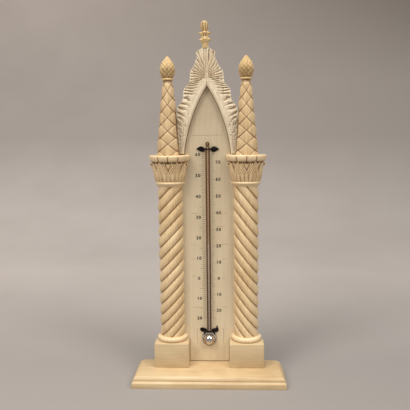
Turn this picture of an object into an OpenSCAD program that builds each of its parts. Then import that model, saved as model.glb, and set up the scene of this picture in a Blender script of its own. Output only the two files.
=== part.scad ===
// Column thermometer carved in bone. Two half-round rope columns with scaled spires
// stand on a moulded base and carry a pointed arch round an engraved scale plate.
// A glass tube with a mercury bulb is clipped to the plate.
// Millimetres, +Z up, front towards -Y. The origin is the middle of the base's underside.

/* [Base] */
// Width of the lower board
base_w = 107; // [100:1:114]
// Depth of the lower board, front edge to back
base_d = 28.4; // [27:0.2:32]
// Thickness of the lower board
board_h = 4.9; // [4.2:0.1:7]
// Height of the lower board's upright face, under its weathered edge
face_h = 3.6; // [2:0.1:3.8]
// How far the lower board's top edge is weathered back
weather = 1; // [0.6:0.1:1]
// Thickness of the upper board
step_h = 4.2; // [3.4:0.1:6]
// How far the upper board stands in from the lower one
step_inset = 1.2; // [1.2:0.1:2.4]
// Width of the thumb moulding along the upper board's front and ends
mould_w = 7.5; // [3:0.1:8]

/* [Columns] */
// Distance between the axes of the two columns
column_gap = 53.4; // [50:0.2:58]
// Width of a plinth block
plinth_w = 24.5; // [22:0.1:26]
// Depth of a plinth block, from the columns' flat backs
plinth_d = 12; // [11.4:0.1:14]
// Height of a plinth block
plinth_h = 17.5; // [14:0.5:24]
// Chamfer on the edges of a plinth block
plinth_chamfer = 0.5; // [0.2:0.1:1]
// Outer radius of the base ring
ring_r = 11; // [10:0.1:11.4]
// Height of the base ring
ring_h = 3.6; // [2.6:0.1:5]
// Radius of the rope shaft over its strands
shaft_r = 8.9; // [8:0.1:9.6]
// Height of the rope shaft
shaft_h = 108.1; // [90:0.5:120]
// Height between two strands on the left, measured along the shaft
left_pitch = 8.24; // [6:0.02:12]
// The same on the right
right_pitch = 8.46; // [6:0.02:12]
// How far a groove climbs for each millimetre across the left shaft
left_lean = 1.04; // [0.6:0.02:1.3]
// The same on the right
right_lean = 1.24; // [0.6:0.02:1.3]
// Height above the shaft's foot where a groove crosses its front, on the left
left_groove_z = 7.42; // [0:0.02:8]
// The same on the right
right_groove_z = 6.21; // [0:0.02:8]
// How much wider than even the strands are at the top, and narrower at the foot
strand_drift = 0.07; // [0.01:0.01:0.12]
// Depth of the groove between two strands
strand_depth = 1.1; // [0.4:0.1:1.6]
// Largest radius of the neck ring under the capital
neck_r = 10.4; // [9.8:0.1:11.4]
// Height of the neck ring
neck_h = 3.3; // [2.6:0.1:5]
// Radius of the half-round tenons that join shaft, rings and capital
tenon_r = 4.6; // [3.6:0.1:5.4]
// Length of those tenons past the ring that they cross
tenon_grip = 4.5; // [2:0.5:6]

/* [Capitals] */
// Radius of the capital's bell where it meets the neck ring
bell_r = 9.7; // [9:0.1:10.6]
// Radius of the capital's bell at its top
bell_top_r = 12.5; // [11:0.1:12.8]
// Height of the capital
capital_h = 13.9; // [10:0.1:18]
// How far the acanthus leaves stand out
leaf_relief = 1.2; // [0.4:0.1:1.6]
// Radius of the scrolls under the abacus
scroll_r = 1.7; // [1:0.1:2.2]
// Radius of the abacus at its top edge
abacus_r = 14.2; // [13.4:0.1:14.6]
// Radius of the abacus at its foot
abacus_foot_r = 12.7; // [12.6:0.1:13.2]
// Height of the abacus
abacus_h = 4.5; // [3:0.1:6]
// Depth of the nicks that divide the abacus into lobes, at its foot
nick = 0.8; // [0.3:0.1:1]

/* [Spires] */
// Radius of the spire at its foot
spire_r = 8.7; // [7.4:0.1:9.4]
// Radius of the spire at its top
spire_top_r = 3.4; // [2.8:0.1:4]
// Height of the spire
spire_h = 50.6; // [40:0.2:60]
// Height from one ring of scales to the next
scale_pitch = 4.45; // [3.6:0.05:6]
// Height above the spire's foot of the lowest front scale's lower point
scale_start = 7.4; // [6:0.1:12]
// How far the scales stand out
scale_relief = 0.7; // [0.3:0.1:1]
// Radius of the collar on the spire
collar_r = 4.1; // [3.8:0.1:5]
// Height of the collar
collar_h = 1.5; // [1:0.1:2.4]
// Largest radius of the bud
bud_r = 5.4; // [4.4:0.1:5.6]
// Height of the bud
bud_h = 14.7; // [11:0.1:18]
// Radius of the bud's peg
peg_r = 1.2; // [0.8:0.1:1.6]
// Length of the bud's peg below the collar
peg_l = 7; // [4:0.5:10]

/* [Scale plate and arch] */
// Thickness of the scale plate
plate_t = 2.2; // [1.8:0.1:3]
// Half width of the plate behind the columns
plate_half_w = 22; // [20:0.2:25]
// Half width of the plate behind the arch
plate_neck_w = 18.4; // [17.6:0.1:18.6]
// Half width of the arch opening at its springing
arch_half_w = 16.9; // [16:0.1:17.2]
// Depth of the springing below the top of the abacus
spring_drop = 10; // [6:0.5:14]
// Rise of the arch opening from its springing to the point
arch_rise = 57.2; // [50:0.2:62]
// Width of the plain band round the opening
band_w = 3.1; // [2.4:0.1:3.4]
// How far the band stands in front of the plate
band_t = 3.2; // [2.8:0.1:4.5]
// How far the carved ground stands in front of the plate
ground_t = 2.2; // [1.4:0.1:2.6]
// How far leaf ribs and rims stand in front of the plate
rib_t = 2.9; // [2.6:0.1:4]
// Leaf ribs on each side of the arch
rib_count = 15; // [8:1:20]
// Width of a leaf rib
rib_w = 0.9; // [0.5:0.1:1.3]
// Width of the rim along the scalloped edge
rim_w = 0.9; // [0.6:0.1:1.4]
// Distance outwards from one crocket of the edge to the next
crocket_out = 4.75; // [4.2:0.05:5]
// Distance down from one crocket of the edge to the next
crocket_down = 12.1; // [11:0.1:13]
// Height of the palmette above the point of the band
crest_h = 19.3; // [17:0.1:23]
// How far palmette and finial lean to the left for each millimetre of height
crest_lean = 0.039; // [0:0.001:0.06]
// Ribs on each side of the palmette
fan_ribs = 8; // [5:1:10]
// Height of the finial on the palmette
finial_h = 18; // [14:0.1:22]
// Radius of the finial's stem
finial_stem_r = 2.05; // [1.7:0.05:2.3]
// Reach of the finial's leaves to each side
finial_reach = 4.5; // [3.6:0.1:5.4]
// Reach of the finial's leaves to the front and back
finial_depth = 3.4; // [2.6:0.1:3.7]
// Radius of the finial's fluted bud
finial_bud_r = 2.6; // [2.1:0.1:3]

/* [Tube] */
// Height of the bulb's centre
bulb_z = 26.6; // [24:0.2:30]
// Outer radius of the glass bulb
bulb_r = 4.2; // [3.4:0.1:4.3]
// Thickness of the bulb's glass wall
bulb_wall = 0.6; // [0.4:0.05:1]
// Outer radius of the glass stem
stem_r = 1.75; // [1.4:0.05:1.9]
// Height of the stem's sealed end
stem_top = 165.2; // [160:0.2:168]
// Radius of the glass nib on the stem's end
nib_r = 1.55; // [1:0.05:1.7]
// Distance of the stem's axis in front of the plate
stem_out = 2.4; // [2.2:0.05:3]
// Radius of the capillary bore
bore_r = 0.4; // [0.3:0.05:0.6]
// Height of the mercury in the rest position
level_z = 96.5; // [60:0.5:150]
// Height of the sliding cap on the mercury thread
cap_h = 1; // [0.6:0.1:2]
// Height of the upper clip's middle
clip_z = 164; // [160:0.2:166]
// Height of the lower clip's middle
lower_clip_z = 34; // [33.4:0.2:38]
// Thickness of the clips' metal
clip_t = 0.5; // [0.3:0.05:0.7]
// Height of the strap that crosses the tube
strap_h = 1.3; // [0.8:0.1:2]
// Radius of a pin's shank
pin_r = 0.4; // [0.3:0.05:0.6]
// Length of a pin from its head's underside
pin_l = 1.9; // [1.2:0.1:2]
// Radius of the dowels that hold the plinths
dowel_r = 2; // [1.2:0.1:2.6]

/* [Hidden] */

$fn = 48;
fit_gap = 0.1;      // between a tenon or peg and its socket
seat_gap = 0.25;    // between carved pieces that stand side by side
mercury_gap = 0.03; // between the mercury and the glass
overlap = 0.5;      // how far a cutting tool runs past a face

// Heights of the joints, from the base up
z_step = board_h;
z_plinth = z_step + step_h;
z_ring = z_plinth + plinth_h;
z_shaft = z_ring + ring_h;
z_neck = z_shaft + shaft_h;
z_capital = z_neck + neck_h;
z_abacus = z_capital + capital_h;
z_spire = z_abacus + abacus_h;
z_collar = z_spire + spire_h;
z_bud = z_collar + collar_h;

// The columns' flat backs and the plate's front lie in one plane
back_y = base_d / 2 - plate_t;
column_x = column_gap / 2;
// Spires and buds are full-round; their backs are pared to the same plane
spire_set = spire_top_r;

bone = [0.86, 0.75, 0.56];
bone_dark = [0.78, 0.66, 0.48];
bone_pale = [0.82, 0.77, 0.66];
bone_white = [0.88, 0.83, 0.72];
bone_yellow = [0.84, 0.72, 0.47];
metal_black = [0.16, 0.13, 0.11];
clear_glass = [0.86, 0.9, 0.88, 0.4];
quicksilver = [0.75, 0.76, 0.78];

// Skins of carved pieces

// Diagonals run along the hollows, so a groove stays sharp
function flat_r(p) = norm([p[0], p[1]]);
function facet(points, a, b, c, d) =
    flat_r(points[a]) + flat_r(points[d]) < flat_r(points[b]) + flat_r(points[c])
        ? [[a, c, d], [a, d, b]] : [[a, c, b], [b, c, d]];

// Side faces between rings of n points each
function sides(points, n, rows) = [for (j = [0 : rows - 2]) for (i = [0 : n - 1])
    each facet(points, j * n + i, j * n + (i + 1) % n, (j + 1) * n + i, (j + 1) * n + (i + 1) % n)];

// Closed full-round skin: each end is a fan round a hub on the axis
module round_skin(rings) {
    n = len(rings[0]);
    rows = len(rings);
    low = rings[0][0][2];
    high = rings[rows - 1][0][2];
    points = concat([for (ring = rings) each ring], [[0, 0, low], [0, 0, high]]);
    last = (rows - 1) * n;
    foot = [for (i = [0 : n - 1]) [i, (i + 1) % n, rows * n]];
    head = [for (i = [0 : n - 1]) [last + (i + 1) % n, last + i, rows * n + 1]];
    polyhedron(points, concat(sides(points, n, rows), foot, head), convexity = 8);
}

// Closed half-round skin: three points of each ring lie in the flat back, its hub in the middle
module half_skin(rings) {
    n = len(rings[0]);
    rows = len(rings);
    points = [for (ring = rings) each ring];
    last = (rows - 1) * n;
    fan = [for (i = [0 : n - 1]) if (i != n - 2 && i != n - 3) i];
    foot = [for (i = fan) [i, (i + 1) % n, n - 2]];
    head = [for (i = fan) [last + (i + 1) % n, last + i, last + n - 2]];
    polyhedron(points, concat(sides(points, n, rows), foot, head), convexity = 8);
}

// One ring of a full-round piece, with radius(angle, z)
function round_ring(count, z, radius) = [for (i = [0 : count - 1])
    let (a = 270 + 360 * i / count, r = radius(a, z)) [r * cos(a), r * sin(a), z]];

// One ring of a half-round piece: the arc in front of the back plane, then its hub between
// two marks on the back, at the ends of the arc
function half_ring(count, z, radius) = concat(
    [for (i = [0 : count]) let (a = 180 + 180 * i / count, r = radius(a, z)) [r * cos(a), r * sin(a), z]],
    [for (x = [radius(180, z), 0, -radius(180, z)]) [x, 0, z]]);

// Puts a left-hand piece on its column axis, or its mirror image on the right one
module on_column(z, right = false, set = 0) {
    if (right) mirror([1, 0, 0]) translate([-column_x, back_y - set, z]) children();
    else translate([-column_x, back_y - set, z]) children();
}

// Base

// A board with its back square and its front and side edges shaped by a profile,
// given as [inset, height] steps
module board(width, depth, steps) {
    intersection() {
        rotate([90, 0, 90]) translate([0, 0, -width / 2]) linear_extrude(width)
            polygon(concat([[depth / 2, steps[0][1]]],
                [for (s = steps) [-depth / 2 + s[0], s[1]]],
                [[depth / 2, steps[len(steps) - 1][1]]]));
        rotate([90, 0, 0]) translate([0, 0, -depth / 2 - overlap]) linear_extrude(depth + 2 * overlap)
            polygon(concat([for (s = steps) [-width / 2 + s[0], s[1]]],
                [for (i = [len(steps) - 1 : -1 : 0]) [width / 2 - steps[i][0], steps[i][1]]]));
    }
}

lip = 0.2;
module base_board() {
    color(bone) difference() {
        board(base_w, base_d, [[0, 0], [0, face_h], [weather * 0.55, face_h + (board_h - face_h) * 0.35],
            [weather, board_h - lip], [weather + lip, board_h]]);
        dowel_holes();
    }
}

// The upper board has a thumb moulding over a small upright foot, and a rebate at the back
// for the plate's foot
mould_foot = 0.4;
mould_fullness = 0.87; // 1 would be an ellipse, less is squarer
step_edge = [for (a = [0 : 9 : 90]) [mould_w * (1 - pow(cos(a), mould_fullness)),
    mould_foot + (step_h - mould_foot) * pow(sin(a), mould_fullness)]];
module base_step() {
    color(bone) difference() {
        translate([0, step_inset / 2, z_step])
            board(base_w - 2 * step_inset, base_d - step_inset, concat([[lip, 0], [0, lip]], step_edge));
        translate([-plate_half_w - fit_gap, back_y, z_step - overlap])
            cube([2 * (plate_half_w + fit_gap), plate_t + overlap, step_h + 2 * overlap]);
        dowel_holes();
    }
}

// Dowels through the upper board, from a blind hole in the lower one into the plinths
dowel_grip = 9;
dowel_foot = 1.2;
dowel_top = z_plinth + dowel_grip;
dowel_y = back_y - plinth_d / 2;
module dowel_holes() {
    for (side = [-1, 1]) translate([side * column_x, dowel_y, dowel_foot - fit_gap])
        cylinder(r = dowel_r + fit_gap / 2, h = dowel_top + 2 * fit_gap - dowel_foot);
}
module base_dowels() {
    color(bone_dark) for (side = [-1, 1]) translate([side * column_x, dowel_y, dowel_foot])
        cylinder(r = dowel_r, h = dowel_top - dowel_foot);
}

// Columns

// Half-round socket for a tenon that is sawn in half with its column
tenon_bore = tenon_r + fit_gap;
module tenon_socket(length) {
    cylinder(r = tenon_bore, h = length + fit_gap);
}

// Plinth block, chamfered on its front and side edges
module plinth() {
    c = plinth_chamfer;
    half = plinth_w / 2;
    intersection() {
        linear_extrude(plinth_h) polygon([[-half, 0], [-half, -plinth_d + c], [-half + c, -plinth_d],
            [half - c, -plinth_d], [half, -plinth_d + c], [half, 0]]);
        rotate([90, 0, 0]) translate([0, 0, -overlap]) linear_extrude(plinth_d + 2 * overlap)
            polygon([[-half, 0], [half, 0], [half, plinth_h - c], [half - c, plinth_h],
                [-half + c, plinth_h], [-half, plinth_h - c]]);
        rotate([90, 0, 90]) translate([0, 0, -half - overlap]) linear_extrude(plinth_w + 2 * overlap)
            polygon([[0, 0], [-plinth_d, 0], [-plinth_d, plinth_h - c], [-plinth_d + c, plinth_h],
                [0, plinth_h]]);
    }
}
module plinth_bored(right) {
    color(bone_dark) difference() {
        on_column(z_plinth, right) plinth();
        dowel_holes();
        on_column(z_ring - tenon_grip - fit_gap, right) tenon_socket(tenon_grip + overlap);
    }
}
module plinth_left() plinth_bored(false);
module plinth_right() plinth_bored(true);

// Turns an outline of [radius, height] points into a half-round piece with its flat at the back
module half_turned(outline) {
    rotate([0, 0, 180]) rotate_extrude(angle = 180) polygon(outline);
}

// Base ring: a round bead
bead_r = ring_h / 2;
bead = concat([[tenon_bore, 0]],
    [for (a = [-90 : 15 : 90]) [ring_r - bead_r + bead_r * cos(a), bead_r + bead_r * sin(a)]],
    [[tenon_bore, ring_h]]);
module base_ring_left() color(bone) on_column(z_ring) half_turned(bead);
module base_ring_right() color(bone) on_column(z_ring, true) half_turned(bead);

// Neck ring: slants out from the shaft to a bead under the capital.
// Steps as [how far inside the largest radius, share of the height]
neck_steps = [[1.6, 0], [1.3, 0.12], [0.9, 0.28], [0.35, 0.48], [0.06, 0.6], [0, 0.7], [0.08, 0.82],
    [0.3, 0.92], [0.7, 1]];
neck_line = concat([[tenon_bore, 0]], [for (s = neck_steps) [neck_r - s[0], neck_h * s[1]]],
    [[tenon_bore, neck_h]]);
module neck_ring_left() color(bone) on_column(z_neck) half_turned(neck_line);
module neck_ring_right() color(bone) on_column(z_neck, true) half_turned(neck_line);

// Rope shaft: filed straight across at a slant, which leaves rounded strands. Every groove
// lies in a plane that leans across the shaft. The strands widen a little towards the top.
strand_facets = 6;
shaft_columns = 14;
strand_roundness = 0.8;
// Strands between the shaft's foot and a height, and the height for a number of strands
function strand_number(z, pitch) = z / pitch * (1 + strand_drift * (1 - z / shaft_h));
function strand_height(n, pitch) = shaft_h / (2 * strand_drift)
    * (1 + strand_drift - sqrt(pow(1 + strand_drift, 2) - 4 * strand_drift * n * pitch / shaft_h));
// One ring of the slanted skin, its hub and two marks in the flat back
function slanted_ring(r, z, lean) = concat(
    [for (i = [0 : shaft_columns]) let (a = 180 + 180 * i / shaft_columns)
        [r * cos(a), r * sin(a), z + lean * r * cos(a)]],
    [for (x = [r / 2, 0, -r / 2]) [x, 0, z + lean * x]]);
module rope_shaft(groove_z, pitch, lean) {
    reach = lean * shaft_r + 1;
    first = strand_number(groove_z, pitch);
    low = floor((strand_number(-reach, pitch) - first) * strand_facets);
    high = ceil((strand_number(shaft_h + reach, pitch) - first) * strand_facets);
    intersection() {
        half_skin([for (j = [low : high]) slanted_ring(
            shaft_r - strand_depth * (1 - pow(abs(sin(180 * j / strand_facets)), strand_roundness)),
            strand_height(first + j / strand_facets, pitch), lean)]);
        translate([-shaft_r - 1, -shaft_r - 1, 0]) cube([2 * shaft_r + 2, shaft_r + 2, shaft_h]);
    }
    for (end = [[-ring_h - tenon_grip, ring_h], [shaft_h - tenon_grip, neck_h]])
        translate([0, 0, end[0]]) half_turned([[0, 0], [tenon_r, 0], [tenon_r, end[1] + 2 * tenon_grip],
            [0, end[1] + 2 * tenon_grip]]);
}
module column_left() color(bone) on_column(z_shaft) rope_shaft(left_groove_z, left_pitch, left_lean);
module column_right() color(bone) on_column(z_shaft, true) rope_shaft(right_groove_z, right_pitch, right_lean);

// Capitals

// Height of an acanthus leaf's outline at an angle from its middle, as a share of the capital
leaf_span = 45;
leaf_arc = function (a, t) let (
        u = (((a - 180) % leaf_span) - leaf_span / 2) / (leaf_span / 2),
        w = t < 0.72 ? 0.96 : 0.96 * sqrt(max(0, 1 - pow((t - 0.72) / 0.26, 2))))
    w > 0 && abs(u) < w ? sqrt(1 - pow(u / w, 2)) : 0;
bell_fullness = 0.6; // 1 would be a straight cone, less swells sooner
bell = function (a, z) let (t = max(0, min(1, z / capital_h)))
    bell_r + (bell_top_r - bell_r) * pow(t, bell_fullness) - leaf_relief / 2
        + leaf_relief * leaf_arc(a, t) * (0.45 + 0.55 * t);
capital_columns = 24;
capital_rows = 14;
scroll_drop = 0.3;
scroll_at = [bell_top_r - 0.9, -2.6, capital_h - scroll_r - scroll_drop];
module capital() {
    difference() {
        union() {
            half_skin([for (j = [0 : capital_rows])
                half_ring(capital_columns, capital_h * j / capital_rows, bell)]);
            for (side = [-1, 1]) translate([side * scroll_at[0], scroll_at[1], scroll_at[2]])
                rotate([90, 0, 0]) scroll();
        }
        translate([0, 0, -overlap]) tenon_socket(tenon_grip + overlap);
        translate([0, -spire_set, capital_h - tenon_grip - fit_gap])
            cylinder(r = spire_tenon_r + fit_gap, h = tenon_grip + overlap);
    }
}
// A scroll: a short boss with a pierced eye
scroll_t = 2.2;
scroll_eye = 0.8;
module scroll() {
    difference() {
        translate([0, 0, -scroll_t / 2]) cylinder(r = scroll_r, h = scroll_t);
        translate([0, 0, scroll_t / 2 - scroll_eye]) cylinder(r = scroll_r / 3, h = scroll_eye + overlap);
    }
}
module capital_left() color(bone_dark) on_column(z_capital) capital();
module capital_right() color(bone_dark) on_column(z_capital, true) capital();

// Abacus: a half disc that widens to a rounded top edge, its slanted side nicked into lobes.
// Steps as [share of the widening, share of the height]
abacus_steps = [[0, 0], [0.18, 0.08], [0.4, 0.3], [0.72, 0.58], [0.93, 0.76], [1, 0.85], [0.96, 0.94], [0.75, 1]];
lobes = 6;
module abacus() {
    slope = atan((abacus_r - abacus_foot_r + nick) / abacus_h);
    difference() {
        half_turned(concat([[0, 0]], [for (s = abacus_steps)
            [abacus_foot_r + (abacus_r - abacus_foot_r) * s[0], abacus_h * s[1]]], [[0, abacus_h]]));
        for (i = [1 : lobes - 1]) rotate([0, 0, 180 + 180 * i / lobes])
            translate([abacus_foot_r, 0, 0]) rotate([0, slope, 0]) rotate([0, 0, 45])
                cube([nick * sqrt(2), nick * sqrt(2), 4 * abacus_h], center = true);
        translate([0, -spire_set, -overlap])
            cylinder(r = spire_tenon_r + fit_gap, h = abacus_h + 2 * overlap);
    }
}
module abacus_left() color(bone) on_column(z_abacus) abacus();
module abacus_right() color(bone) on_column(z_abacus, true) abacus();

// Spires and buds

// Relief of a lattice of overlapping leaves that point up: 1 in the middle of a leaf, 0 in
// the hollows round it, and tipped forwards towards its point. u counts the leaves across,
// v the rings of them
function scales(u, v) = let (
        p = u + v / 2, q = u - v / 2,
        du = (p - round(p) + q - round(q)) / 2, dv = (p - round(p)) - (q - round(q)),
        inside = 1 - 2 * max(abs(du + dv / 2), abs(du - dv / 2)))
    0.78 * min(1, 1.6 * inside) + 0.22 * dv;

// The scales are cut with a straight saw from the front, so they stand evenly across the
// width and not round the spire: angles from the front at their corners and half-way points
spire_tenon_r = 2.6;
spire_entasis = 0.88;
scale_w = 1.48; // width of a scale, as a share of the spire's radius
scale_side = asin(scale_w / 2);
scale_mid = asin(scale_w / 4);
flank = 68;
half_turn = [0, scale_mid, scale_side, flank, 90, 180 - flank, 180 - scale_side, 180 - scale_mid];
spire_angles = concat([for (a = half_turn) a - 180], half_turn);
function scale_u(a) = (abs(a) <= 90 ? sin(a) : sign(a) * (2 - abs(sin(a)))) / scale_w;
function spire_skin(a, z) =
    spire_top_r + (spire_r - spire_top_r) * pow(max(0, 1 - z / spire_h), spire_entasis)
        - scale_relief * (1 - scales(scale_u(a), (z - scale_start) / scale_pitch - 1)) * (1 - 0.4 * z / spire_h);
function spire_ring(z, r = 0) = [for (a = spire_angles) let (s = r > 0 ? r : spire_skin(a, z))
    [s * sin(a), -s * cos(a), z]];
// Rows of the skin run through the corners of the scales
row_h = scale_pitch / 2;
low_row = ceil(0.3 - scale_start / row_h);
high_row = floor((spire_h - scale_start) / row_h - 0.3);
module spire_solid() {
    round_skin(concat(
        [spire_ring(-abacus_h - tenon_grip, spire_tenon_r), spire_ring(0, spire_tenon_r), spire_ring(0)],
        [for (j = [low_row : high_row]) spire_ring(scale_start + j * row_h)], [spire_ring(spire_h)]));
}
module spire(right) {
    color(bone) difference() {
        on_column(z_spire, right, spire_set) spire_solid();
        translate([0, back_y + base_d / 2, z_spire + spire_h / 2])
            cube([2 * base_w, base_d, spire_h + 2 * overlap], center = true);
        arch_cut(right);
        on_column(z_collar - peg_l, right, spire_set) cylinder(r = peg_r + fit_gap, h = peg_l + overlap);
    }
}
// The side of the spire is pared away where the arch stands
module arch_cut(right) {
    upright(back_y + overlap, base_d, right) polygon(concat(
        [[0, z_spire - overlap], [foot_edge[0][0] + seat_gap, z_spire - overlap]],
        [for (p = foot_edge) [p[0] + seat_gap, p[1]]],
        [[crocket(2)[0] + seat_gap, crocket(2)[1] + seat_gap], [0, crocket(2)[1] + 6]]));
}
module spire_left() spire(false);
module spire_right() spire(true);

module collar(right) {
    color(bone_yellow) on_column(z_collar, right, spire_set) difference() {
        rotate_extrude() {
            square([collar_r - collar_h / 2, collar_h]);
            translate([collar_r - collar_h / 2, collar_h / 2]) circle(collar_h / 2, $fn = 24);
        }
        translate([0, 0, -overlap]) cylinder(r = peg_r + fit_gap, h = collar_h + 2 * overlap);
    }
}
module collar_left() collar(false);
module collar_right() collar(true);

bud_scales = 8;
bud_rows = 14;
bud_foot_r = 3;
// Egg shape with its widest ring a third of the way up, drawn to a point
bud_shape = function (t) t < 0.38
    ? bud_foot_r + (bud_r - bud_foot_r) * sqrt(1 - pow(1 - t / 0.38, 2))
    : bud_r * pow(cos(90 * (t - 0.38) / 0.64), 0.9);
bud_skin = function (a, z) let (t = z / bud_h)
    bud_shape(t) * (0.9 + 0.1 * scales(bud_scales * (a - 270) / 360, t * bud_rows / 2));
module bud(right) {
    color(bone_yellow) on_column(z_bud, right, spire_set) intersection() {
        round_skin(concat(
            [round_ring(4 * bud_scales, -collar_h - peg_l + overlap, function (a, z) peg_r),
                round_ring(4 * bud_scales, 0, function (a, z) peg_r)],
            [for (j = [0 : bud_rows]) round_ring(4 * bud_scales, bud_h * j / bud_rows, bud_skin)]));
        translate([0, spire_set + plate_t - base_d, 0])
            cube([base_d, 2 * base_d, 2 * bud_h + 4 * peg_l], center = true);
    }
}
module bud_left() bud(false);
module bud_right() bud(true);

// Plate and arch

z_spring = z_spire - spring_drop;
arch_big_r = (pow(arch_half_w, 2) + pow(arch_rise, 2)) / (2 * arch_half_w);
z_point = z_spring + arch_rise;
// Half width of the pointed arch at a height, let out by a distance
function arch_x(z, out = 0) = max(0, arch_half_w - arch_big_r
    + sqrt(max(0, pow(arch_big_r + out, 2) - pow(z - z_spring, 2))));
function arch_top(out) = z_spring + sqrt(pow(arch_big_r + out, 2) - pow(arch_big_r - arch_half_w, 2));
z_band_point = arch_top(band_w);
arch_steps = 14;
function arch_curve(low, out) = [for (i = [0 : arch_steps])
    let (z = low + (arch_top(out) - low) * i / arch_steps) [arch_x(z, out), z]];

// Rounds the corners of an open line by cutting each one back twice
function cut_corners(line) = concat([line[0]],
    [for (i = [1 : len(line) - 2]) each [line[i] + (line[i - 1] - line[i]) / 4,
        line[i] + (line[i + 1] - line[i]) / 4]], [line[len(line) - 1]]);
function soft(line) = cut_corners(cut_corners(line));

// Crockets step outwards and down from the palmette's lowest lobe
z_crest_top = z_band_point + crest_h;
crocket_start = [11.3, z_band_point + 4.4];
function crocket(i) = crocket_start + i * [crocket_out, -crocket_down];
// Hollow under a crocket, where the next one starts
function hollow(i) = crocket(i) + [0.15 * crocket_out, -0.69 * crocket_down];
arch_foot_w = arch_x(z_spire, band_w) - 0.35;
// Outer edge from the foot up to the last crocket, along the spire
foot_edge = [[arch_foot_w, z_spire], [arch_foot_w + 0.6, z_spire + 6], [arch_foot_w + 1.25, z_spire + 12.7],
    [arch_foot_w + 1.85, z_spire + 18.5], [crocket(2)[0] + 0.3, z_spire + 28.6]];
arch_edge = soft(concat(foot_edge, [crocket(2), hollow(1), crocket(1) + [0.2, -0.34 * crocket_down],
    crocket(1), hollow(0)]));
crest_edge = soft([hollow(0), crocket(0) + [0.1, -0.34 * crocket_down], crocket(0),
    [8.4, z_band_point + 7.4], [7.3, z_band_point + 10.8], [5.7, z_band_point + 13.6],
    [6.9, z_band_point + 16.7], [4.2, z_band_point + 18.4], [2.3, z_crest_top]]);
// Moves a point of the palmette to the left with its height and turns its top square to the lean
lean_from = 7;
function leaning(p) = let (up = max(0, p[1] - z_band_point), turn = max(0, min(1, (up - lean_from) / lean_from)))
    [p[0] - crest_lean * up, p[1] + crest_lean * turn * p[0]];

// Stands a flat outline upright with its front at a depth and a thickness behind it
module upright(front, thickness, right = false) {
    mirror([right ? 0 : 1, 0, 0]) translate([0, front, 0]) rotate([90, 0, 0])
        linear_extrude(thickness) children();
}
// Raises an outline to a height in front of the plate
module raised(height, right = true) upright(back_y, height, right) children();

plate_shoulder = z_spire - 3;
plate_rise = z_band_point + 1.5 - z_spring;
plate_big_r = (pow(plate_neck_w, 2) + pow(plate_rise, 2)) / (2 * plate_neck_w);
function plate_x(z) = plate_neck_w - plate_big_r + sqrt(pow(plate_big_r, 2) - pow(z - z_spring, 2));
plate_neck = z_spring + plate_rise - plate_shoulder;
plate_side = concat([[plate_half_w, z_step], [plate_half_w, plate_shoulder]],
    [for (i = [0 : arch_steps]) let (z = plate_shoulder + plate_neck * i / arch_steps) [max(0, plate_x(z)), z]]);
bulb_clear = bulb_r + 0.5;
module scale_plate() {
    color(bone_pale) difference() {
        upright(back_y + plate_t, plate_t) polygon(concat(plate_side,
            [for (i = [len(plate_side) - 2 : -1 : 0]) [-plate_side[i][0], plate_side[i][1]]]));
        translate([0, back_y - overlap, bulb_z]) rotate([-90, 0, 0])
            cylinder(r = bulb_clear, h = plate_t + 2 * overlap);
        pin_holes(back_y - overlap, pin_l - clip_t + fit_gap);
    }
}

// One side of the arch: carved ground, plain band, rim and leaf ribs
first_rib = z_spire + 9;
module arch_side(right) {
    inner = arch_curve(z_spire, 0);
    band = arch_curve(z_spire, band_w);
    color(bone_white) union() {
        raised(ground_t, right) polygon(concat(inner, [[0, z_band_point]], [hollow(0)],
            [for (i = [len(arch_edge) - 2 : -1 : 0]) arch_edge[i]]));
        raised(band_t, right) polygon(concat(inner, [for (i = [arch_steps : -1 : 1]) band[i]],
            [[arch_foot_w, z_spire + 4], [arch_foot_w, z_spire]]));
        raised(rib_t, right) polygon(concat(arch_edge, [for (i = [len(arch_edge) - 1 : -1 : 0])
            [arch_edge[i][0] - rim_w, arch_edge[i][1] - 0.3 * rim_w]]));
        intersection() {
            raised(rib_t, right) polygon(concat([[0, z_spire], [0, z_band_point]], [hollow(0)],
                [for (i = [len(arch_edge) - 2 : -1 : 0]) arch_edge[i]]));
            for (i = [0 : rib_count - 1]) let (z = first_rib + (z_point - first_rib) * i / (rib_count - 1))
                raised(rib_t, right) leaf_rib([arch_x(z, band_w) - overlap, z], 26 + 2 * i, band_w * 5);
        }
    }
}
// A tapered rib that leaves the band at an angle
module leaf_rib(from, angle, length) {
    translate(from) rotate(angle) polygon([[0, -rib_w / 3], [length, -rib_w / 2], [length, rib_w / 2],
        [0, rib_w / 3]]);
}
module arch_left() arch_side(false);
module arch_right() arch_side(true);

// The palmette: ribs that spread like a fan from the point of the band
crest_line = [for (p = concat(crest_edge,
    [for (i = [len(crest_edge) - 1 : -1 : 0]) [-crest_edge[i][0], crest_edge[i][1]]], [[0, z_band_point]]))
    leaning(p)];
midrib = 1.2;
fan_angle = 96;
module crest() {
    color(bone_white) difference() {
        union() {
            raised(ground_t) polygon(crest_line);
            intersection() {
                raised(rib_t) polygon(crest_line);
                for (i = [-fan_ribs : fan_ribs]) raised(rib_t)
                    translate([0, z_band_point]) rotate(90 + atan(crest_lean) - i * fan_angle / fan_ribs)
                        polygon([[0, -0.2], [crest_h, -rib_w], [crest_h, rib_w], [0, 0.2]]);
            }
            raised(band_t) polygon([for (p = [[-midrib, z_band_point + midrib], [0, z_band_point],
                [midrib, z_band_point + midrib], [midrib, z_crest_top], [-midrib, z_crest_top]]) leaning(p)]);
        }
        on_crest() translate([0, 0, -finial_peg]) cylinder(r = finial_peg_r + fit_gap / 2,
            h = finial_peg + overlap);
    }
}
// Stands a piece on the palmette's top, turned with its lean
module on_crest() {
    translate([-crest_lean * crest_h, finial_y, z_crest_top]) rotate([0, -atan(crest_lean), 0]) children();
}

// Finial: stem, four leaves, a neck and a fluted bud, with a peg into the palmette
finial_peg = 5;
finial_peg_r = 0.8;
finial_y = back_y - band_t / 2;
finial_columns = 24;
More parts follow.
